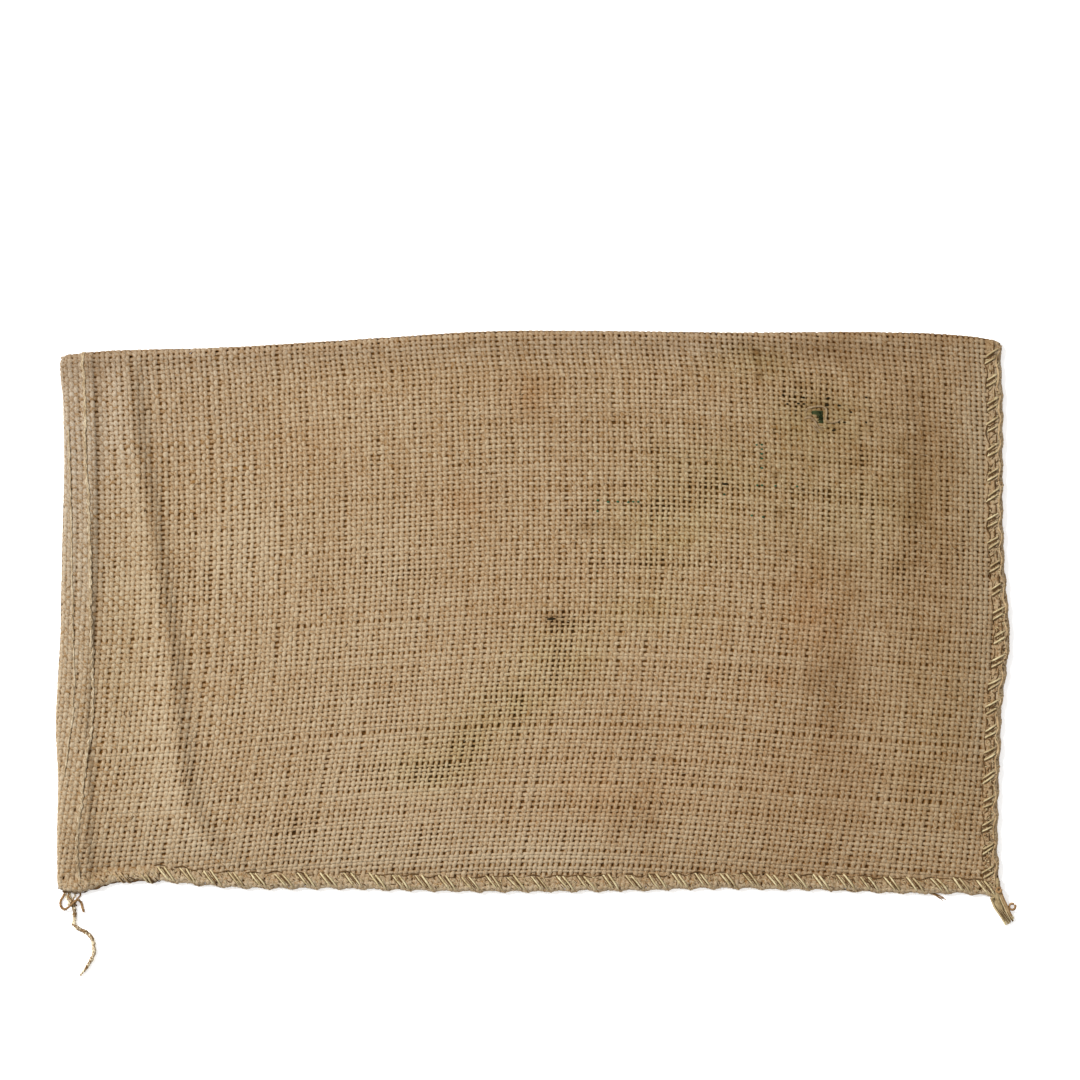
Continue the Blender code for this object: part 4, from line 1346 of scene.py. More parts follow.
def block(name, columns, rows, lower_points, upper_points):
    """A closed block between two faces that share one grid."""
    obj = grid(name, len(columns), len(rows))
    set_points(obj, lower_points)
    up = {"value": (0, 0, 1.0)}
    edit_whole(obj, bpy.ops.mesh.extrude_region_move, TRANSFORM_OT_translate=up)
    points = get_points(obj)
    top = np.flatnonzero(points[:, 2] > 0.5)
    base = points[top] - (0, 0, 1.0)
    order = {tuple(np.round(p * 1e7).astype(int)): k for k, p in enumerate(lower_points)}
    for index, place in zip(top, base):
        nearest = order.get(tuple(np.round(place * 1e7).astype(int)))
        if nearest is None:
            nearest = int(((lower_points - place) ** 2).sum(axis=1).argmin())
        points[index] = upper_points[nearest]
    set_points(obj, points)
    edit_whole(obj, bpy.ops.mesh.normals_make_consistent, inside=False)
    return obj


def outer_block():
    """The cloth's whole body, a little inside the yarns' outer faces."""
    columns = np.append(np.array(PLY_MOUTH_LINES) * MM, np.linspace(0.0245, 0.088, 21)[1:])
    over_seam = np.array(PLY_SEAM_LINES) * MM
    columns = stations(columns, over_seam, SACK_LENGTH, 0.0078)
    rows = stations([*over_seam, 0.022], np.array(PLY_FOLD_LINES) * MM, SACK_WIDTH, 0.0094)
    along, across = np.meshgrid(columns, rows)
    x, y = laid_out(*rounded_corner(np.maximum(along, LIP_RADIUS), across))
    upper, normal = with_normal(over_upper, x, y)
    upper = (upper - normal * PLY_BELOW_SOLID).reshape(-1, 3)
    upper[:, 2] = np.maximum(upper[:, 2], PLY_LEAST_TOP)
    held_along = np.clip(along, LIP_RADIUS, SACK_LENGTH - SEAM_UNDERCUT - PLY_INSET)
    held_across = np.clip(across, SEAM_UNDERCUT + PLY_INSET, SACK_WIDTH - FOLD_UNDERCUT - PLY_INSET)
    lx, ly = laid_out(*rounded_corner(held_along, held_across))
    lower = np.stack([lx, ly, np.full(lx.shape, PLY_FOOT)], axis=-1).reshape(-1, 3)
    lip = np.where(along.ravel()[:, None] < LIP_RADIUS, (-PLY_INSET, 0, 0), (0, 0, 0))
    return block("sack_ply", columns, rows, lower + lip, upper + lip)


def pocket_block():
    """The open pocket, to be cut out of the cloth's body."""
    near = np.append(np.array(POCKET_MOUTH_LINES) * MM, np.linspace(0.027, 0.088, 13)[1:])
    end = SACK_LENGTH - POCKET_SEAM_INSET
    columns = stations(near, np.array([0, 5.0, 14.0]) * MM, end, 0.011)
    first, last = POCKET_SEAM_INSET, SACK_WIDTH - POCKET_FOLD_INSET
    rows = stations([first, first + 0.006], np.array([0, 4.0]) * MM, last, 0.013)
    along, across = np.meshgrid(columns, rows)
    x, y = laid_out(along, across)
    held = np.maximum(along, LIP_RADIUS)
    roof = np.stack([x, y, pocket_roof(held, across)], axis=-1).reshape(-1, 3)
    floor = np.stack([x, y, pocket_floor(along) + 0 * x], axis=-1).reshape(-1, 3)
    return block("pocket_hollow", columns, rows, floor, roof)


def lay_ply():
    """The cloth's hollow plies, which carry the yarns and close off the view between them."""
    ply = outer_block()
    ply.data.materials.append(finishes()["ply"])
    hollow = pocket_block()
    hollow.data.materials.append(finishes()["pocket"])
    cut = ply.modifiers.new("pocket", "BOOLEAN")
    cut.operation, cut.solver, cut.object = "DIFFERENCE", "EXACT", hollow
    cut.material_mode = "TRANSFER"
    choose(ply)
    bpy.ops.object.modifier_apply(modifier="pocket")
    bpy.data.objects.remove(hollow, do_unlink=True)
    finish_piece(ply, "ply")
    bpy.ops.object.shade_smooth_by_angle(angle=radians(35))
    place = get_points(ply)[:, :2].T
    stain_and_shade_masks(ply, *place)
    # Where the weave is open, for painted shade in the holes.
    set_attribute(ply, "open", np.clip(blobs(LOOSE_PATCHES, *place, MM) * 3.5, 0, 1))
    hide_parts("sack_cloth")
    return ply


def over_roll(along_x, place, from_edge, lift):
    """Points on a rolled seam at places along it and distances in from its edge."""
    if along_x:
        return raised(place, through(SIDE_SEAM_EDGE, place) + from_edge, lift)
    return raised(through(BOTTOM_SEAM_EDGE, place) - from_edge, place, lift)


def strand_places(start, stop, seed):
    """Where each overcast strand starts, in pairs, and how it leans and reaches."""
    rng = np.random.default_rng(seed)
    places = []
    for k in range(int((stop - start) / STRAND_PAIR_PITCH) + 1):
        at = start + k * STRAND_PAIR_PITCH + rng.uniform(-0.0007, 0.0007)
        gap = STRAND_GAP * rng.uniform(0.85, 1.2)
        for member in (0, 1):
            leans = rng.uniform(0.88, 1.12)
            reach = STRAND_INNER * rng.uniform(0.90, 1.05)
            places.append((at + member * gap, leans, reach, rng.normal(), rng.uniform(0.85, 1.1)))
    return places


def strand_route(along_x, place, from_share, to_share, lift, turn_under=False):
    """One strand's route over a rolled seam between two shares of its run."""
    at, leans, reach, bow, _ = place
    lean = (SIDE_LEAN if along_x else BOTTOM_LEAN) * leans
    share = np.linspace(from_share, to_share, STRAND_POINTS)
    from_edge = lerp(reach, -SEAM_WRAP * WRAP_TURN, share)
    spot = at + lean * share + 0.0003 * np.sin(pi * share) * bow
    points = over_roll(along_x, spot, from_edge, lift)
    points[:, 2] = np.maximum(points[:, 2], STRAND_RADIUS)
    if not turn_under:
        return points
    back = np.linspace(0, 1, UNDER_POINTS + 1)[1:]
    under = np.repeat(points[-1:], UNDER_POINTS, axis=0)
    under[:, 1 if along_x else 0] += back * (UNDER_RUN if along_x else -UNDER_RUN)
    under[:, 2] = UNDER_HEIGHT
    return np.concatenate([points, under])


def seam_litter(along_x, start, stop, seed):
    """Short broken strokes of fibre and shade all over a rolled seam."""
    rng = np.random.default_rng(seed)
    routes, radii = [], []
    lean = (SIDE_LEAN if along_x else BOTTOM_LEAN) / STRAND_INNER
    for spot in np.arange(start, stop, 0.00075 if along_x else 0.00050):
        inner = rng.uniform(0.0016, SEAM_WIDTH - 0.0003)
        length = rng.uniform(0.0010, 0.0026)
        heading = np.arctan(lean) + (0.35 if along_x else 0.75) * rng.normal()
        share = np.linspace(-0.5, 0.5, 5) * length
        run = spot + share * np.sin(heading)
        from_edge = np.clip(inner - share * np.cos(heading), 0.0010, SEAM_WIDTH)
        routes.append(over_roll(along_x, run, from_edge, 0.00004 + 0.00008 * rng.uniform()))
        radii.append(rng.uniform(0.00014, 0.00030) * np.array((0.4, 0.9, 1.0, 0.9, 0.4)))
    return routes, radii


def overcast_seams():
    """Straw strands in pairs over both rolled seams, with dark strands between them as painted shadow.
    """
    side = strand_places(SIDE_STRANDS_FROM, SIDE_STRANDS_TO, 21)
    bottom = strand_places(BOTTOM_STRANDS_FROM, BOTTOM_STRANDS_TO, 22)
    weak = strand_places(WEAK_STRANDS_FROM, SIDE_STRANDS_FROM - STRAND_PAIR_PITCH, 24)
    dive = np.linspace(0, 1, STRAND_POINTS)
    bite = STRAND_LIFT - STRAND_BITE * np.exp(-dive / 0.05)
    lay_over_seams(side, bottom, weak, bite - 0.0008 * smooth((dive - 0.80) / 0.20))
    rise = -STRAND_LIFT - 0.0005 * (1 - smooth(dive / 0.3))
    turn_under_seams(side, bottom, weak, bite, rise)
    shade_seams(side, bottom, weak)


def lay_over_seams(side, bottom, weak, arch):
    """The strands that show over the seams, some of them dull."""
    routes = [strand_route(True, place, 0, SIDE_SHOWN, arch) for place in side]
    radii = [np.full(STRAND_POINTS, STRAND_RADIUS * place[4]) for place in side]
    routes += [strand_route(False, place, 0, BOTTOM_SHOWN, arch) for place in bottom]
    radii += [np.full(STRAND_POINTS, 0.88 * STRAND_RADIUS * place[4]) for place in bottom]
    for place in weak[-2:]:
        routes.append(strand_route(True, place, *WEAK_SHOWN, arch))
        radii.append(np.full(STRAND_POINTS, 0.85 * STRAND_RADIUS))
    dull_share = np.where(np.arange(len(routes)) < len(side), 0.22, 0.65)
    dull = np.random.default_rng(27).uniform(size=len(routes)) < dull_share
    for name, chosen, finish in (("overcast_strands", ~dull, "straw"), ("dull_strands", dull, "dull")):
        picked = np.flatnonzero(chosen)
        strands(name, [routes[k] for k in picked], [radii[k] for k in picked], finish)


def turn_under_seams(side, bottom, weak, bite, rise):
    """The same strands' thinner way back under the seams, and a yarn along the bottom roll."""
    routes = [strand_route(True, place, SIDE_HIDDEN, 1, rise, True) for place in side]
    routes += [strand_route(False, place, BOTTOM_HIDDEN, 1, rise, True) for place in bottom]
    routes += [strand_route(True, place, WEAK_HIDDEN, 1, bite, True) for place in weak]
    body = np.repeat((STRAND_RADIUS, UNDER_RADIUS), (STRAND_POINTS, UNDER_POINTS))
    radii = [body * 0.74 * place[4] for place in side + bottom + weak]
    spot = np.arange(-0.1410, 0.1390, 0.0014)
    wave = pair_wave(spot, BOTTOM_STRANDS_FROM)
    rough = soft_noise(np.random.default_rng(28), 2, len(spot), 2)
    routes.append(over_roll(False, spot, 0.0021 + 0.0006 * wave + 0.0002 * rough[0], -0.00022))
    radii.append(np.clip(0.00052 + 0.00014 * rough[1], 0.0002, 0.0008))
    # The tan finish is darker than the straw: painted shade where the strands turn under the edges.
    strands("returning_strands", routes, radii, "tan")


def shade_seams(side, bottom, weak):
    """Dark strands as painted shadow between and beside the strands and in the groove inside each roll,
    and litter of both shades.
    """
    routes, radii = [], []
    taper = np.sin(pi * np.linspace(0.12, 0.97, STRAND_POINTS)) ** 0.7
    # Painted shadow beside each strand and between the two of each pair.
    for along_x, places in ((True, side), (False, bottom)):
        for place in places:
            beside = (place[0] - 0.0009, *place[1:])
            routes.append(strand_route(along_x, beside, 0.02, 0.56 if along_x else 0.44, 0.00004))
            radii.append(0.00030 * taper)
        for first, second in zip(places[::2], places[1::2]):
            between = ((first[0] + second[0]) / 2 + 0.0001, *first[1:])
            routes.append(strand_route(along_x, between, 0.02, 0.60 if along_x else 0.50, 0.0))
            radii.append(0.00030 * taper)
    for place in bottom[::2]:
        spot = place[0] + np.linspace(0.0068, 0.0118, 6)
        routes.append(over_roll(False, spot, 0.0042 + 0.0003 * place[3], 0.00006))
        radii.append(np.array([0.12, 0.30, 0.38, 0.38, 0.28, 0.10]) * MM)
    # Painted shadow beside the weak strands.
    for place in weak:
        for step in (0.0006, 0.0036):
            routes.append(strand_route(True, (place[0] + step, *place[1:]), 0.52, 0.92, 0.00004))
            radii.append(0.00034 * taper)
    # Painted shade along the groove inside each roll.
    for along_x, first, start, stop, seed in (
        (True, SIDE_STRANDS_FROM, -0.203, 0.241, 25), (False, BOTTOM_STRANDS_FROM, -0.143, 0.138, 26)
    ):
        spot = np.arange(start, stop, 0.0014)
        wave = pair_wave(spot, first + 0.001)
        rough = soft_noise(np.random.default_rng(seed), 2, len(spot), 3)
        from_edge = SEAM_WIDTH + 0.0002 + 0.0006 * wave + 0.00025 * rough[0]
        routes.append(over_roll(along_x, spot, from_edge, 0.00004))
        radii.append(np.clip(0.00030 + 0.00012 * rough[1], 0.00010, 0.00050))
    for name, along_x, start, stop, seed in (
        ("side_seam_fibre", True, -0.240, 0.243, 61), ("bottom_seam_fibre", False, -0.145, 0.140, 62)
    ):
        litter = list(zip(*seam_litter(along_x, start, stop, seed)))
        dark_of_five = 2 if along_x else 3
        for route, radius in (stroke for k, stroke in enumerate(litter) if k % 5 < dark_of_five):
            routes.append(route)
            radii.append(radius)
        pale = [stroke for k, stroke in enumerate(litter) if k % 5 >= dark_of_five]
        strands(name, *zip(*pale), "dull")
    strands("seam_grooves", routes, radii, "groove")


def chain_row(row, start, stop, half_width, wave, seed):
    """Two threads of each looped stitch along a hem row."""
    rng = np.random.default_rng(seed)
    routes = []
    at = start
    while at < stop:
        length = HEM_STITCH * rng.uniform(0.8, 1.2)
        share = np.linspace(-0.10, 1.06, 8)
        belly = np.sin(pi * np.clip(share, 0, 1)) ** 0.7
        y = at + share * length
        middle = through(row, y) + 0.00018 * rng.normal() + 0.00025 * rng.normal() * share
        middle = middle + wave * np.sin(2 * pi * y / HEM_STITCH)
        lift = 0.00002 + 0.00020 * np.clip(share, 0, 1) ** 2 - 0.0007 * (share < 0)
        for side in (-1, 1):
            x = middle + side * half_width * belly * rng.uniform(0.7, 1.3)
            routes.append(raised(x, y, lift))
        at += length
    return routes


def sew_hem():
    """Two rows of looped stitches along the hem."""
    inner = chain_row(INNER_HEM_ROW, -0.1425, 0.1345, INNER_LOOP, INNER_WAVE, 31)
    outer = chain_row(OUTER_HEM_ROW, -0.0860, 0.0930, OUTER_LOOP, OUTER_WAVE, 32)
    radii = [HEM_THREAD_RADIUS] * len(inner) + [0.7 * HEM_THREAD_RADIUS] * len(outer)
    return strands("hem_stitches", inner + outer, radii, "thread")


def lay_twine():
    """The stitches' loose end, a twine of three strands with brown flecks in it."""
    points = [(x, y, TWINE_DIAMETER / 2) for x, y in TWINE_ROUTE]
    route = smooth_route(points, 8)
    run = np.linspace(0, 1, len(route))
    uneven = 0.20 * np.sin(2 * pi * run * 11.0) + 0.14 * np.sin(2 * pi * run * 17.0)
    tip = 1 - 0.40 * smooth((run - 0.86) / 0.12)
    size = TWINE_STRAND_RADIUS * (1 + uneven) * tip
    plied = twisted(route, 3, TWINE_STRAND_OFFSET * tip[:, None], TWINE_TURN)
    obj = strands("chain_twine", plied, [size, 1.1 * size, 0.9 * size], "twine")
    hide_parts("mouth_twine")
    path = smooth_route(points, 2)
    flecks = twisted(route, 2, 0.00080, TWINE_TURN)[1]
    flecks = lerp(flecks, route, smooth((run - 0.74) / 0.14)[:, None])
    thick = 0.00028 + 0.00046 * smooth((run - 0.76) / 0.10) - 0.00030 * smooth((run - 0.88) / 0.12)
    strands("twine_wisp", [flecks], [thick], "brown")
    return obj


def lay_yarn():
    """A loose brown yarn that leaves the mouth corner and passes over the twine."""
    low, over = YARN_DIAMETER / 2, TWINE_DIAMETER + YARN_CLEARANCE + YARN_DIAMETER / 2
    rising, falling = lerp(low, over, 0.7), lerp(low, over, 0.9)
    heights = (low, low, low, rising, over, falling, low, low, low)
    rooted = [(-0.2476, -0.1466, 0.0010), (-0.2482, -0.1484, 0.0008)]
    rooted += [(x, y, z) for (x, y), z in zip(YARN_ROUTE, heights)]
    route = smooth_route(rooted, 6)
    route[:, 2] = np.maximum(route[:, 2], low)
    plied = twisted(route, 2, YARN_STRAND_OFFSET, YARN_TURN)
    obj = strands("corner_yarn", plied, [0.00056, 0.00052], "brown", "loose_yarn")
    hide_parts("mouth_yarn")
    return obj


def lay_tangle():
    """Threads that come out of the mouth corner and tangle where the twine starts."""
    routes = [smooth_route(np.array(way) * MM, 6) for way in TANGLE]
    plied = twisted(routes[0], 2, 0.00040, 0.0042)
    strands("corner_tangle", plied + routes[1:3], [0.00050] * 4, "twine")
    # A dark strand along the rolled edge by the corner: painted shade under the edge.
    spot = np.arange(-0.2492, -0.2030, 0.0012)
    rough = soft_noise(np.random.default_rng(44), 2, len(spot), 2)
    rim = over_roll(True, spot, 0.0002 * rough[0], -0.00002)
    strands("corner_rim", [rim], [np.clip(0.00034 + 0.00030 * rough[1], 0.0001, 0.0008)], "groove")
    strands("corner_threads", routes[3:], [0.00048] * len(routes[3:]), "brown")


def lay_stub():
    """The cut ends of the seam's strands, out of the corner in a thick bundle."""
    rng = np.random.default_rng(41)
    root = [(0.2436, -0.1500, 0.0), (0.2450, -0.1524, 0.0)]
    route = smooth_route(root + [(x, y, 0.0) for x, y in STUB_ROUTE], 3)
    share = np.linspace(0, 1, len(route))
    size = np.interp(share, *STUB_WIDTH)
    ahead = np.gradient(route, axis=0)
    side = np.cross(ahead / np.linalg.norm(ahead, axis=1, keepdims=True), (0, 0, 1.0))

    def beside(place, bent, level, low=0.0):
        """The bundle's route shifted sideways and set at its level of the flattened round."""
        lifted = route + place[:, None] * side
        lifted[:, 2] = level * (1.15 - 0.25 * share) * (1 - 0.30 * bent * bent) + low
        lifted[:4, 2] += np.linspace(0.0016, 0, 4)
        return lifted

    made = {"straw": [], "olive": [], "brown": [], "dark": []}
    for k in range(STUB_STRANDS):
        place = (k % 9 - 4) / 4.4 + 0.05 * rng.normal()
        level = STUB_LEVELS[0] if k < 9 else STUB_LEVELS[1]
        radius = rng.uniform(0.00040, 0.00056)
        stop = len(route) - rng.integers(0, 3)
        turn = 0.9 * (share - 0.5) * rng.uniform(0.4, 1.0)
        bent = np.clip(place + turn * (1 if k % 2 else -1) * 0.5, -0.95, 0.95)
        kind = ("straw", "olive", "straw", "brown", "straw")[k % 5]
        made[kind].append((beside(bent * size / 2, bent, level, radius * 0.4)[:stop], radius))
    for centre, start, radius, low, high in CURLS:
        turn = np.linspace(-0.5 * pi, 1.42 * pi, 18) + start
        x, y = centre[0] - radius * np.sin(turn), centre[1] + radius * np.cos(turn)
        curl = np.stack([x, y, np.linspace(low, high, 18)], axis=-1)
        made["brown"].append((curl, CURL_RADIUS))
    for x, y in STUB_FILLING:
        filling = [(x * MM, y * MM, 0.0042), (0.2452 + 0.0002 * (x - 242), -0.1500, 0.0040)]
        filling += [(0.2466 + 0.0003 * (x - 242), -0.1545, 0.0030), (0.2488, -0.1580, 0.0024)]
        made["olive"].append((smooth_route(filling, 5), 0.00080))
    # Thin dark strands between the others: painted shade in the gaps of the bundle.
    thin = 0.00019 * np.sin(pi * np.linspace(0.05, 0.90, len(route)))
    for k, place in enumerate((-0.78, -0.52, -0.22, 0.08, 0.34, 0.62)):
        shift = place * size / 2 + 0.0002 * np.sin(7 * share + k)
        made["dark"].append((beside(shift, place, 0.0031), thin))
    for kind, shift in (("brown", 0.0), ("olive", -0.0006), ("brown", -0.0012), ("straw", -0.0016)):
        outer = [(x + shift, y, z) for x, y, z in STUB_OUTER]
        made[kind].append((smooth_route(outer, 5), 0.00054))
    pieces = [
        strands("corner_strands_" + kind, *zip(*group), "groove" if kind == "dark" else kind)
        for kind, group in made.items()
    ]
    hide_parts("corner_stub")
    return pieces


def lay_tuft():
    """A brown wisp that has slipped out from under the side seam."""
    rng = np.random.default_rng(43)
    routes = []
    for _ in range(7):
        tip = np.array((217.4 + 1.6 * rng.normal(), -151.0 + 0.7 * rng.normal(), 0.5))
        ways = (TUFT_ROOT, (TUFT_ROOT + TUFT_MIDDLE) / 2, TUFT_MIDDLE, tip)
        jitter = 0.35 * rng.normal(size=(4, 3)) * ((1,), (1,), (1,), (0,))
        route = smooth_route((np.array(ways) + jitter) * MM, 4)
        route[:, 2] = np.maximum(route[:, 2], 0.0003)
        routes.append(route)
    return strands("seam_tuft", routes, [np.linspace(0.00045, 0.00016, 13)] * 7, "brown")


def on_top(x, y, lift):
    """Points on the upper panel at places given in millimetres."""
    return raised(np.asarray(x) * MM, np.asarray(y) * MM, np.asarray(lift) * MM)


def raise_flaws():
    """Slits, dark flecks and the snag with its pulled loop; the near-black slits and the torn place are
    painted shade of holes.
    """
    share = np.linspace(-0.5, 0.5, 5)
    # The dark slits are painted shade of small holes; the brown slits share the painted-shade finish.
    for name, table, lift, thick, finish in (
        ("dark_slits", SLITS, 0.14, 0.8, "dark"), ("brown_slits", BROWN_SLITS, 0.02, 0.5, "groove"),
        ("green_slits", GREEN_SLITS, 0.08, 0.82, "green"),
    ):
        routes, radii = [], []
        level = lift - 0.2 * (np.abs(share) > 0.4)
        for x, y, length, lean in table:
            run, rise = length * share * np.cos(radians(lean)), length * share * np.sin(radians(lean))
            routes.append(on_top(x + run, y + rise, level))
            wide = np.clip(length / 3.0, 1.25, 1.35) * thick
            radii.append(np.array([0.36, 0.46, 0.5, 0.46, 0.36]) * wide * MM)
        strands(name, routes, radii, finish, "burlap")
    routes, radii = [], []
    for x, y, length, lean in FLECKS:
        across, ahead = np.sin(radians(lean)), np.cos(radians(lean))
        bow = 0.25 * np.cos(pi * share)
        px = x + length * share * ahead - bow * across
        py = y + length * share * across + bow * ahead
        routes.append(on_top(px, py, 0.20 - 0.4 * (np.abs(share) > 0.4)))
        radii.append(np.array([0.08, 0.16, 0.2, 0.16, 0.08]) * MM)
    strands("brown_flecks", routes, radii, "brown", "burlap")
    rng = np.random.default_rng(52)
    # The torn place: dark green strokes, painted shade of the hole tinted by the green seen through it.
    torn = []
    for y in np.arange(SNAG_FOOT, SNAG_TOP, 0.5):
        left = np.interp(y, *np.array(SNAG_LEFT).T) + 0.3 * rng.normal()
        x = np.linspace(left, SNAG_RIGHT + 0.2 * rng.normal(), 6)
        torn.append(on_top(x, y + 0.1 * rng.normal(size=6), (-0.3, 0, 0.05, 0.05, 0, -0.3)))
    strands("snag_hole", torn, [0.00036] * len(torn), "torn", "burlap")
    ways = [np.array(way).T - ((0,), (0,), (0.12,)) for way in SNAG_YARNS]
    ways = [smooth_route(on_top(*way), 4) for way in ways]
    strands("snag_yarns", ways, [0.00058, 0.00064, 0.00056], "loose", "burlap")


def lying_hairs(rng, count):
    """Routes of long hairs that lie bent on the cloth."""
    routes = []
    for _ in range(count):
        x, y = rng.uniform(-240, 240), rng.uniform(-138, 138)
        length, heading = rng.uniform(3, 9), rng.uniform(0, 2 * pi)
        bend = rng.normal() * 0.9
        share = np.linspace(0, 1, 6)
        angle = heading + bend * share
        px = x + np.cumsum(np.cos(angle)) * length / 6
        py = y + np.cumsum(np.sin(angle)) * length / 6
        inside = (np.abs(px) < 243) & (py > -140) & (py < 138)
        if inside.all():
            lift = 0.25 + 0.5 * np.sin(pi * share) * rng.uniform(0.1, 1.0)
            routes.append(on_top(px, py, lift))
    return routes


def edge_hairs(rng, count):
    """Routes of short hairs that stand out from all four edges."""
    routes = []
    for k in range(count):
        share = np.linspace(0, 1, 5) * rng.uniform(0.7, 1.7)
        out, slip, rise = rng.uniform(0.4, 1.0), 0.8 * rng.normal(), rng.uniform(0.3, 2.4)
        if k % 3 == 2:
            y = rng.uniform(-142, 134)
            at_mouth = k % 2 == 0
            edge = through(MOUTH_EDGE if at_mouth else BOTTOM_SEAM_EDGE, y * MM) / MM
            px = edge + (share * out - 0.5) * (-1 if at_mouth else 1)
            py = y + slip * share
        else:
            x = rng.uniform(-246, 244)
            at_fold = k % 3 == 0
            edge = through(FOLD_EDGE if at_fold else SIDE_SEAM_EDGE, x * MM) / MM
            px = x + slip * share
            py = edge + (share * out - 0.5) * (1 if at_fold else -1)
        pz = rise + 0.5 * rng.normal() * share
        routes.append(np.stack([px, py, np.clip(pz, 0.1, 3.2)], axis=-1) * MM)
    return routes


def raise_fibres():
    """Loose hairs on the cloth and short ones at its edges."""
    rng = np.random.default_rng(51)
    long, short = lying_hairs(rng, LYING_HAIRS), edge_hairs(rng, EDGE_HAIRS)
    radii = [np.array([0.05, 0.07, 0.07, 0.07, 0.06, 0.03]) * MM] * len(long)
    radii += [np.array([0.07, 0.07, 0.06, 0.05, 0.03]) * MM] * len(short)
    return strands("loose_fibres", long + short, radii, "fibre", "burlap", sides=4)


def set_camera():
    """The camera straight above the sack."""
    data = bpy.data.cameras.new("camera")
    data.sensor_width = 36.0
    data.lens = 36.0 * CAMERA_HEIGHT / FRAME_WIDTH
    data.clip_end = 50.0
    camera = bpy.data.objects.new("camera", data)
    camera.location = (*CAMERA_OVER, CAMERA_HEIGHT)
    bpy.context.scene.collection.objects.link(camera)
    bpy.context.scene.camera = camera


def add_light(name, place, size, power):
    """A round lamp that faces the sack and isn't seen."""
    data = bpy.data.lights.new(name, "AREA")
    data.shape, data.size, data.energy = "DISK", size, power
    lamp = bpy.data.objects.new(name, data)
    lamp.location = place
    tilt = np.arctan2(np.hypot(place[0], place[1]), place[2])
    lamp.rotation_euler = (tilt, 0.0, np.arctan2(place[0], -place[1]))
    lamp.visible_camera = False
    bpy.context.scene.collection.objects.link(lamp)
    return lamp


def set_stage():
    """A pale floor, a soft key light from the upper left and an even fill."""
    bpy.ops.object.select_all(action="DESELECT")
    bpy.ops.mesh.primitive_plane_add(size=12.0, location=(0, 0, -0.0002))
    floor = bpy.context.object
    floor.name = "floor"
    material, _, shader = new_material("pale_floor", 0.9)
    shader.inputs["Base Color"].default_value = (0.93, 0.93, 0.93, 1.0)
    shader.inputs["Emission Color"].default_value = (1.0, 1.0, 1.0, 1.0)
    shader.inputs["Emission Strength"].default_value = FLOOR_GLOW
    floor.data.materials.append(material)
    add_light("key", KEY_PLACE, KEY_SIZE, KEY_POWER)
    world = bpy.data.worlds.new("even_fill")
    world.use_nodes = True
    background = world.node_tree.nodes["Background"]
    background.inputs["Color"].default_value = (1.0, 1.0, 1.0, 1.0)
    background.inputs["Strength"].default_value = FILL_STRENGTH
    bpy.context.scene.world = world
    bpy.context.scene.view_settings.view_transform = "Standard"


# --------------------------------------------------------------------- add-on parts


class SackSizes(PropertyGroup):
    """How thickly the sack is woven."""

    cross_cover: FloatProperty(
        name="Cross yarn cover", default=0.86, min=0.4, max=1.0,
        description="Share of their pitch that the yarns across the sack fill",
    )
    long_cover: FloatProperty(
        name="Long yarn cover", default=0.81, min=0.4, max=1.0,
        description="Share of their pitch that the yarns along the sack fill",
    )


class SackColours(PropertyGroup):
    """The jute's colours, and the painted shade of the ply seen between its yarns."""

    yarn_pale: FloatVectorProperty(
        name="Pale yarn", subtype="COLOR", default=(0.394, 0.313, 0.208),
        description="Where the jute is palest",
    )
    yarn_deep: FloatVectorProperty(
        name="Deep yarn", subtype="COLOR", default=(0.204, 0.104, 0.030),
        description="Where the jute is darkest",
    )
    # Painted shade: the ply seen between the yarns.
    hole_shade: FloatVectorProperty(
        name="Hole shade", subtype="COLOR", default=(0.112, 0.047, 0.009),
        description="The ply seen between yarns",
    )
    hole_deep: FloatVectorProperty(
        name="Deep hole", subtype="COLOR", default=(0.038, 0.016, 0.004),
        description="The darkest of the ply seen between yarns",
    )


class SACK_OT_set_camera(Operator):
    """Place the camera straight above the sack."""

    bl_idname = "sack.set_camera"
    bl_label = "Set camera"

    def execute(self, context):
        set_camera()
        return {"FINISHED"}


class SACK_OT_lay_loose_ends(Operator):
    """Lay the twine, the loose yarn and the cut strands at the corners and seam."""

    bl_idname = "sack.lay_loose_ends"
    bl_label = "Lay loose ends"

    def execute(self, context):
        lay_twine()
        lay_yarn()
        lay_tangle()
        lay_stub()
        lay_tuft()
        return {"FINISHED"}


class SACK_OT_weave_upper(Operator):
    """Weave the yarns of the upper panel, round its edges and into the mouth."""

    bl_idname = "sack.weave_upper"
    bl_label = "Weave upper panel"

    def execute(self, context):
        half, rows = CROSS_COUNT // 2, LONG_COUNT // 2
        for name, along_x, numbers, seed in (
            ("cross_yarns_mouth_half", 0, range(half), 101),
            ("cross_yarns_bottom_half", 0, range(half, CROSS_COUNT), 102),
            ("long_yarns_seam_half", 1, range(rows), 103),
            ("long_yarns_fold_half", 1, range(rows, LONG_COUNT), 104),
        ):
            finish_piece(yarn_set(name, along_x, numbers, UPPER, seed), "yarn")
        return {"FINISHED"}


class SACK_OT_weave_lower(Operator):
    """Weave the yarns of the lower panel."""

    bl_idname = "sack.weave_lower"
    bl_label = "Weave lower panel"

    def execute(self, context):
        for name, along_x, numbers, seed in (
            ("cross_yarns_below", 0, range(CROSS_COUNT), 105),
            ("long_yarns_below", 1, range(LONG_COUNT), 106),
        ):
            finish_piece(yarn_set(name, along_x, numbers, LOWER, seed), "yarn")
        return {"FINISHED"}


class SACK_OT_sew(Operator):
    """Sew the hem's stitches and overcast the seams."""

    bl_idname = "sack.sew"
    bl_label = "Sew hem and seams"

    def execute(self, context):
        sew_hem()
        overcast_seams()
        return {"FINISHED"}


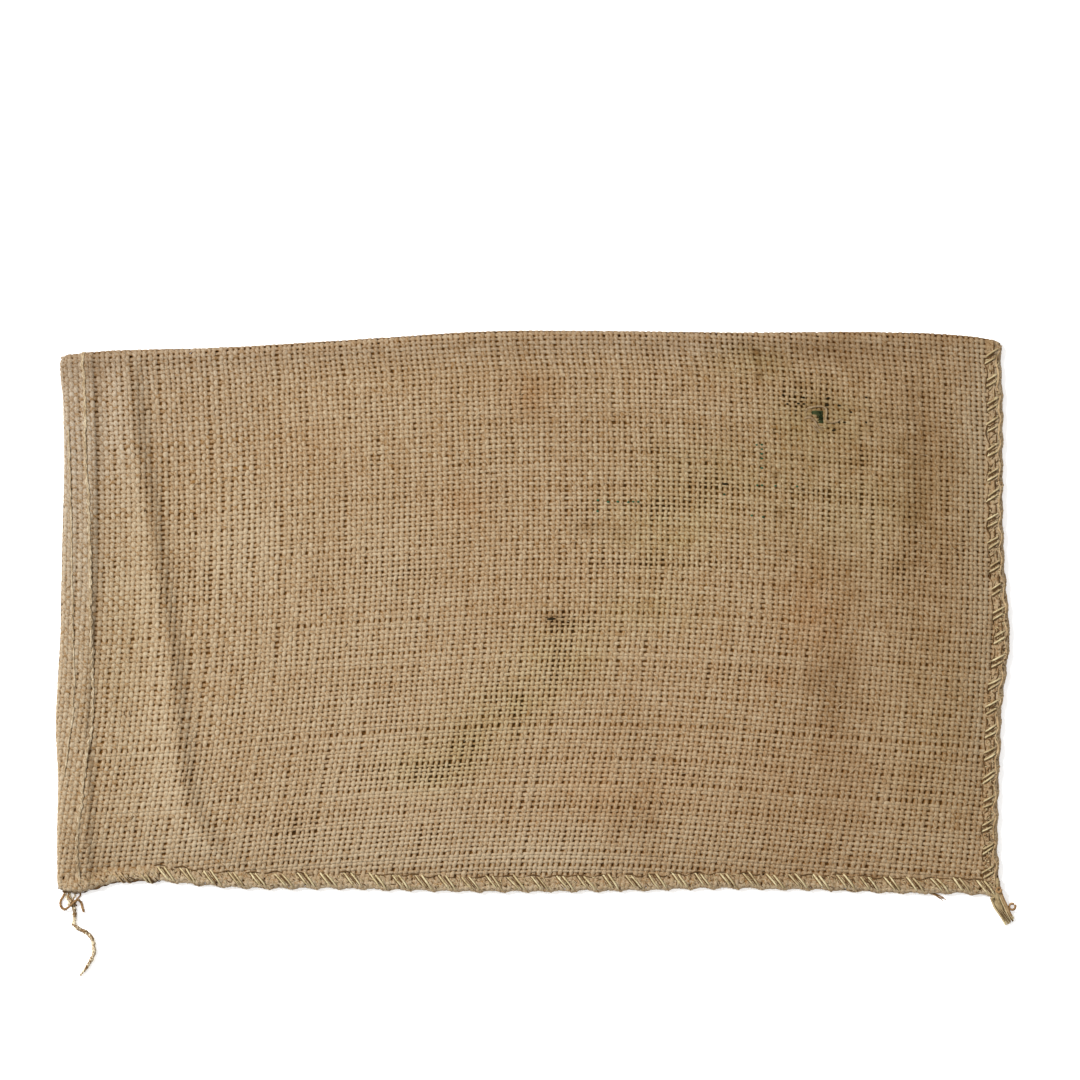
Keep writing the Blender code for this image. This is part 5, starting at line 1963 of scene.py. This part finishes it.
class SACK_OT_raise_flaws(Operator):
    """Add slits, flecks, the snag and loose fibres."""

    bl_idname = "sack.raise_flaws"
    bl_label = "Add flaws and fibres"

    def execute(self, context):
        raise_flaws()
        raise_fibres()
        return {"FINISHED"}


class SACK_OT_lay_ply(Operator):
    bl_idname = "sack.lay_ply"
    bl_label = "Lay plies"

    def execute(self, context):
        ply = lay_ply()
        return {"FINISHED"}


class SACK_OT_set_stage(Operator):
    """Add the pale floor and the lights."""

    bl_idname = "sack.set_stage"
    bl_label = "Set stage"

    def execute(self, context):
        set_stage()
        return {"FINISHED"}


class SACK_PT_panel(Panel):
    """Lists the steps that make the sack."""

    bl_idname = "SACK_PT_panel"
    bl_label = "Burlap sack"
    bl_space_type = "VIEW_3D"
    bl_region_type = "UI"
    bl_category = "Sack"

    def draw(self, context):
        scene = context.scene
        for group in (scene.sack_sizes, scene.sack_colours):
            for name in group.__annotations__:
                self.layout.prop(group, name)
        for step in STEPS:
            self.layout.operator(step.bl_idname)


STEPS = (
    SACK_OT_set_camera,
    SACK_OT_lay_loose_ends,
    SACK_OT_weave_upper,
    SACK_OT_weave_lower,
    SACK_OT_sew,
    SACK_OT_raise_flaws,
    SACK_OT_lay_ply,
    SACK_OT_set_stage,
)
CLASSES = (SackSizes, SackColours, *STEPS, SACK_PT_panel)


def register():
    """Add the settings, the steps and the panel."""
    for item in CLASSES:
        bpy.utils.register_class(item)
    bpy.types.Scene.sack_sizes = PointerProperty(type=SackSizes)
    bpy.types.Scene.sack_colours = PointerProperty(type=SackColours)


def unregister():
    """Take them away again."""
    del bpy.types.Scene.sack_colours
    del bpy.types.Scene.sack_sizes
    for item in reversed(CLASSES):
        bpy.utils.unregister_class(item)


def main():
    """Make the sack and its stage."""
    register()
    bpy.ops.sack.set_camera()
    bpy.ops.sack.lay_loose_ends()
    bpy.ops.sack.weave_upper()
    bpy.ops.sack.weave_lower()
    bpy.ops.sack.sew()
    bpy.ops.sack.raise_flaws()
    bpy.ops.sack.lay_ply()
    bpy.ops.sack.set_stage()


if __name__ == "__main__":
    main()
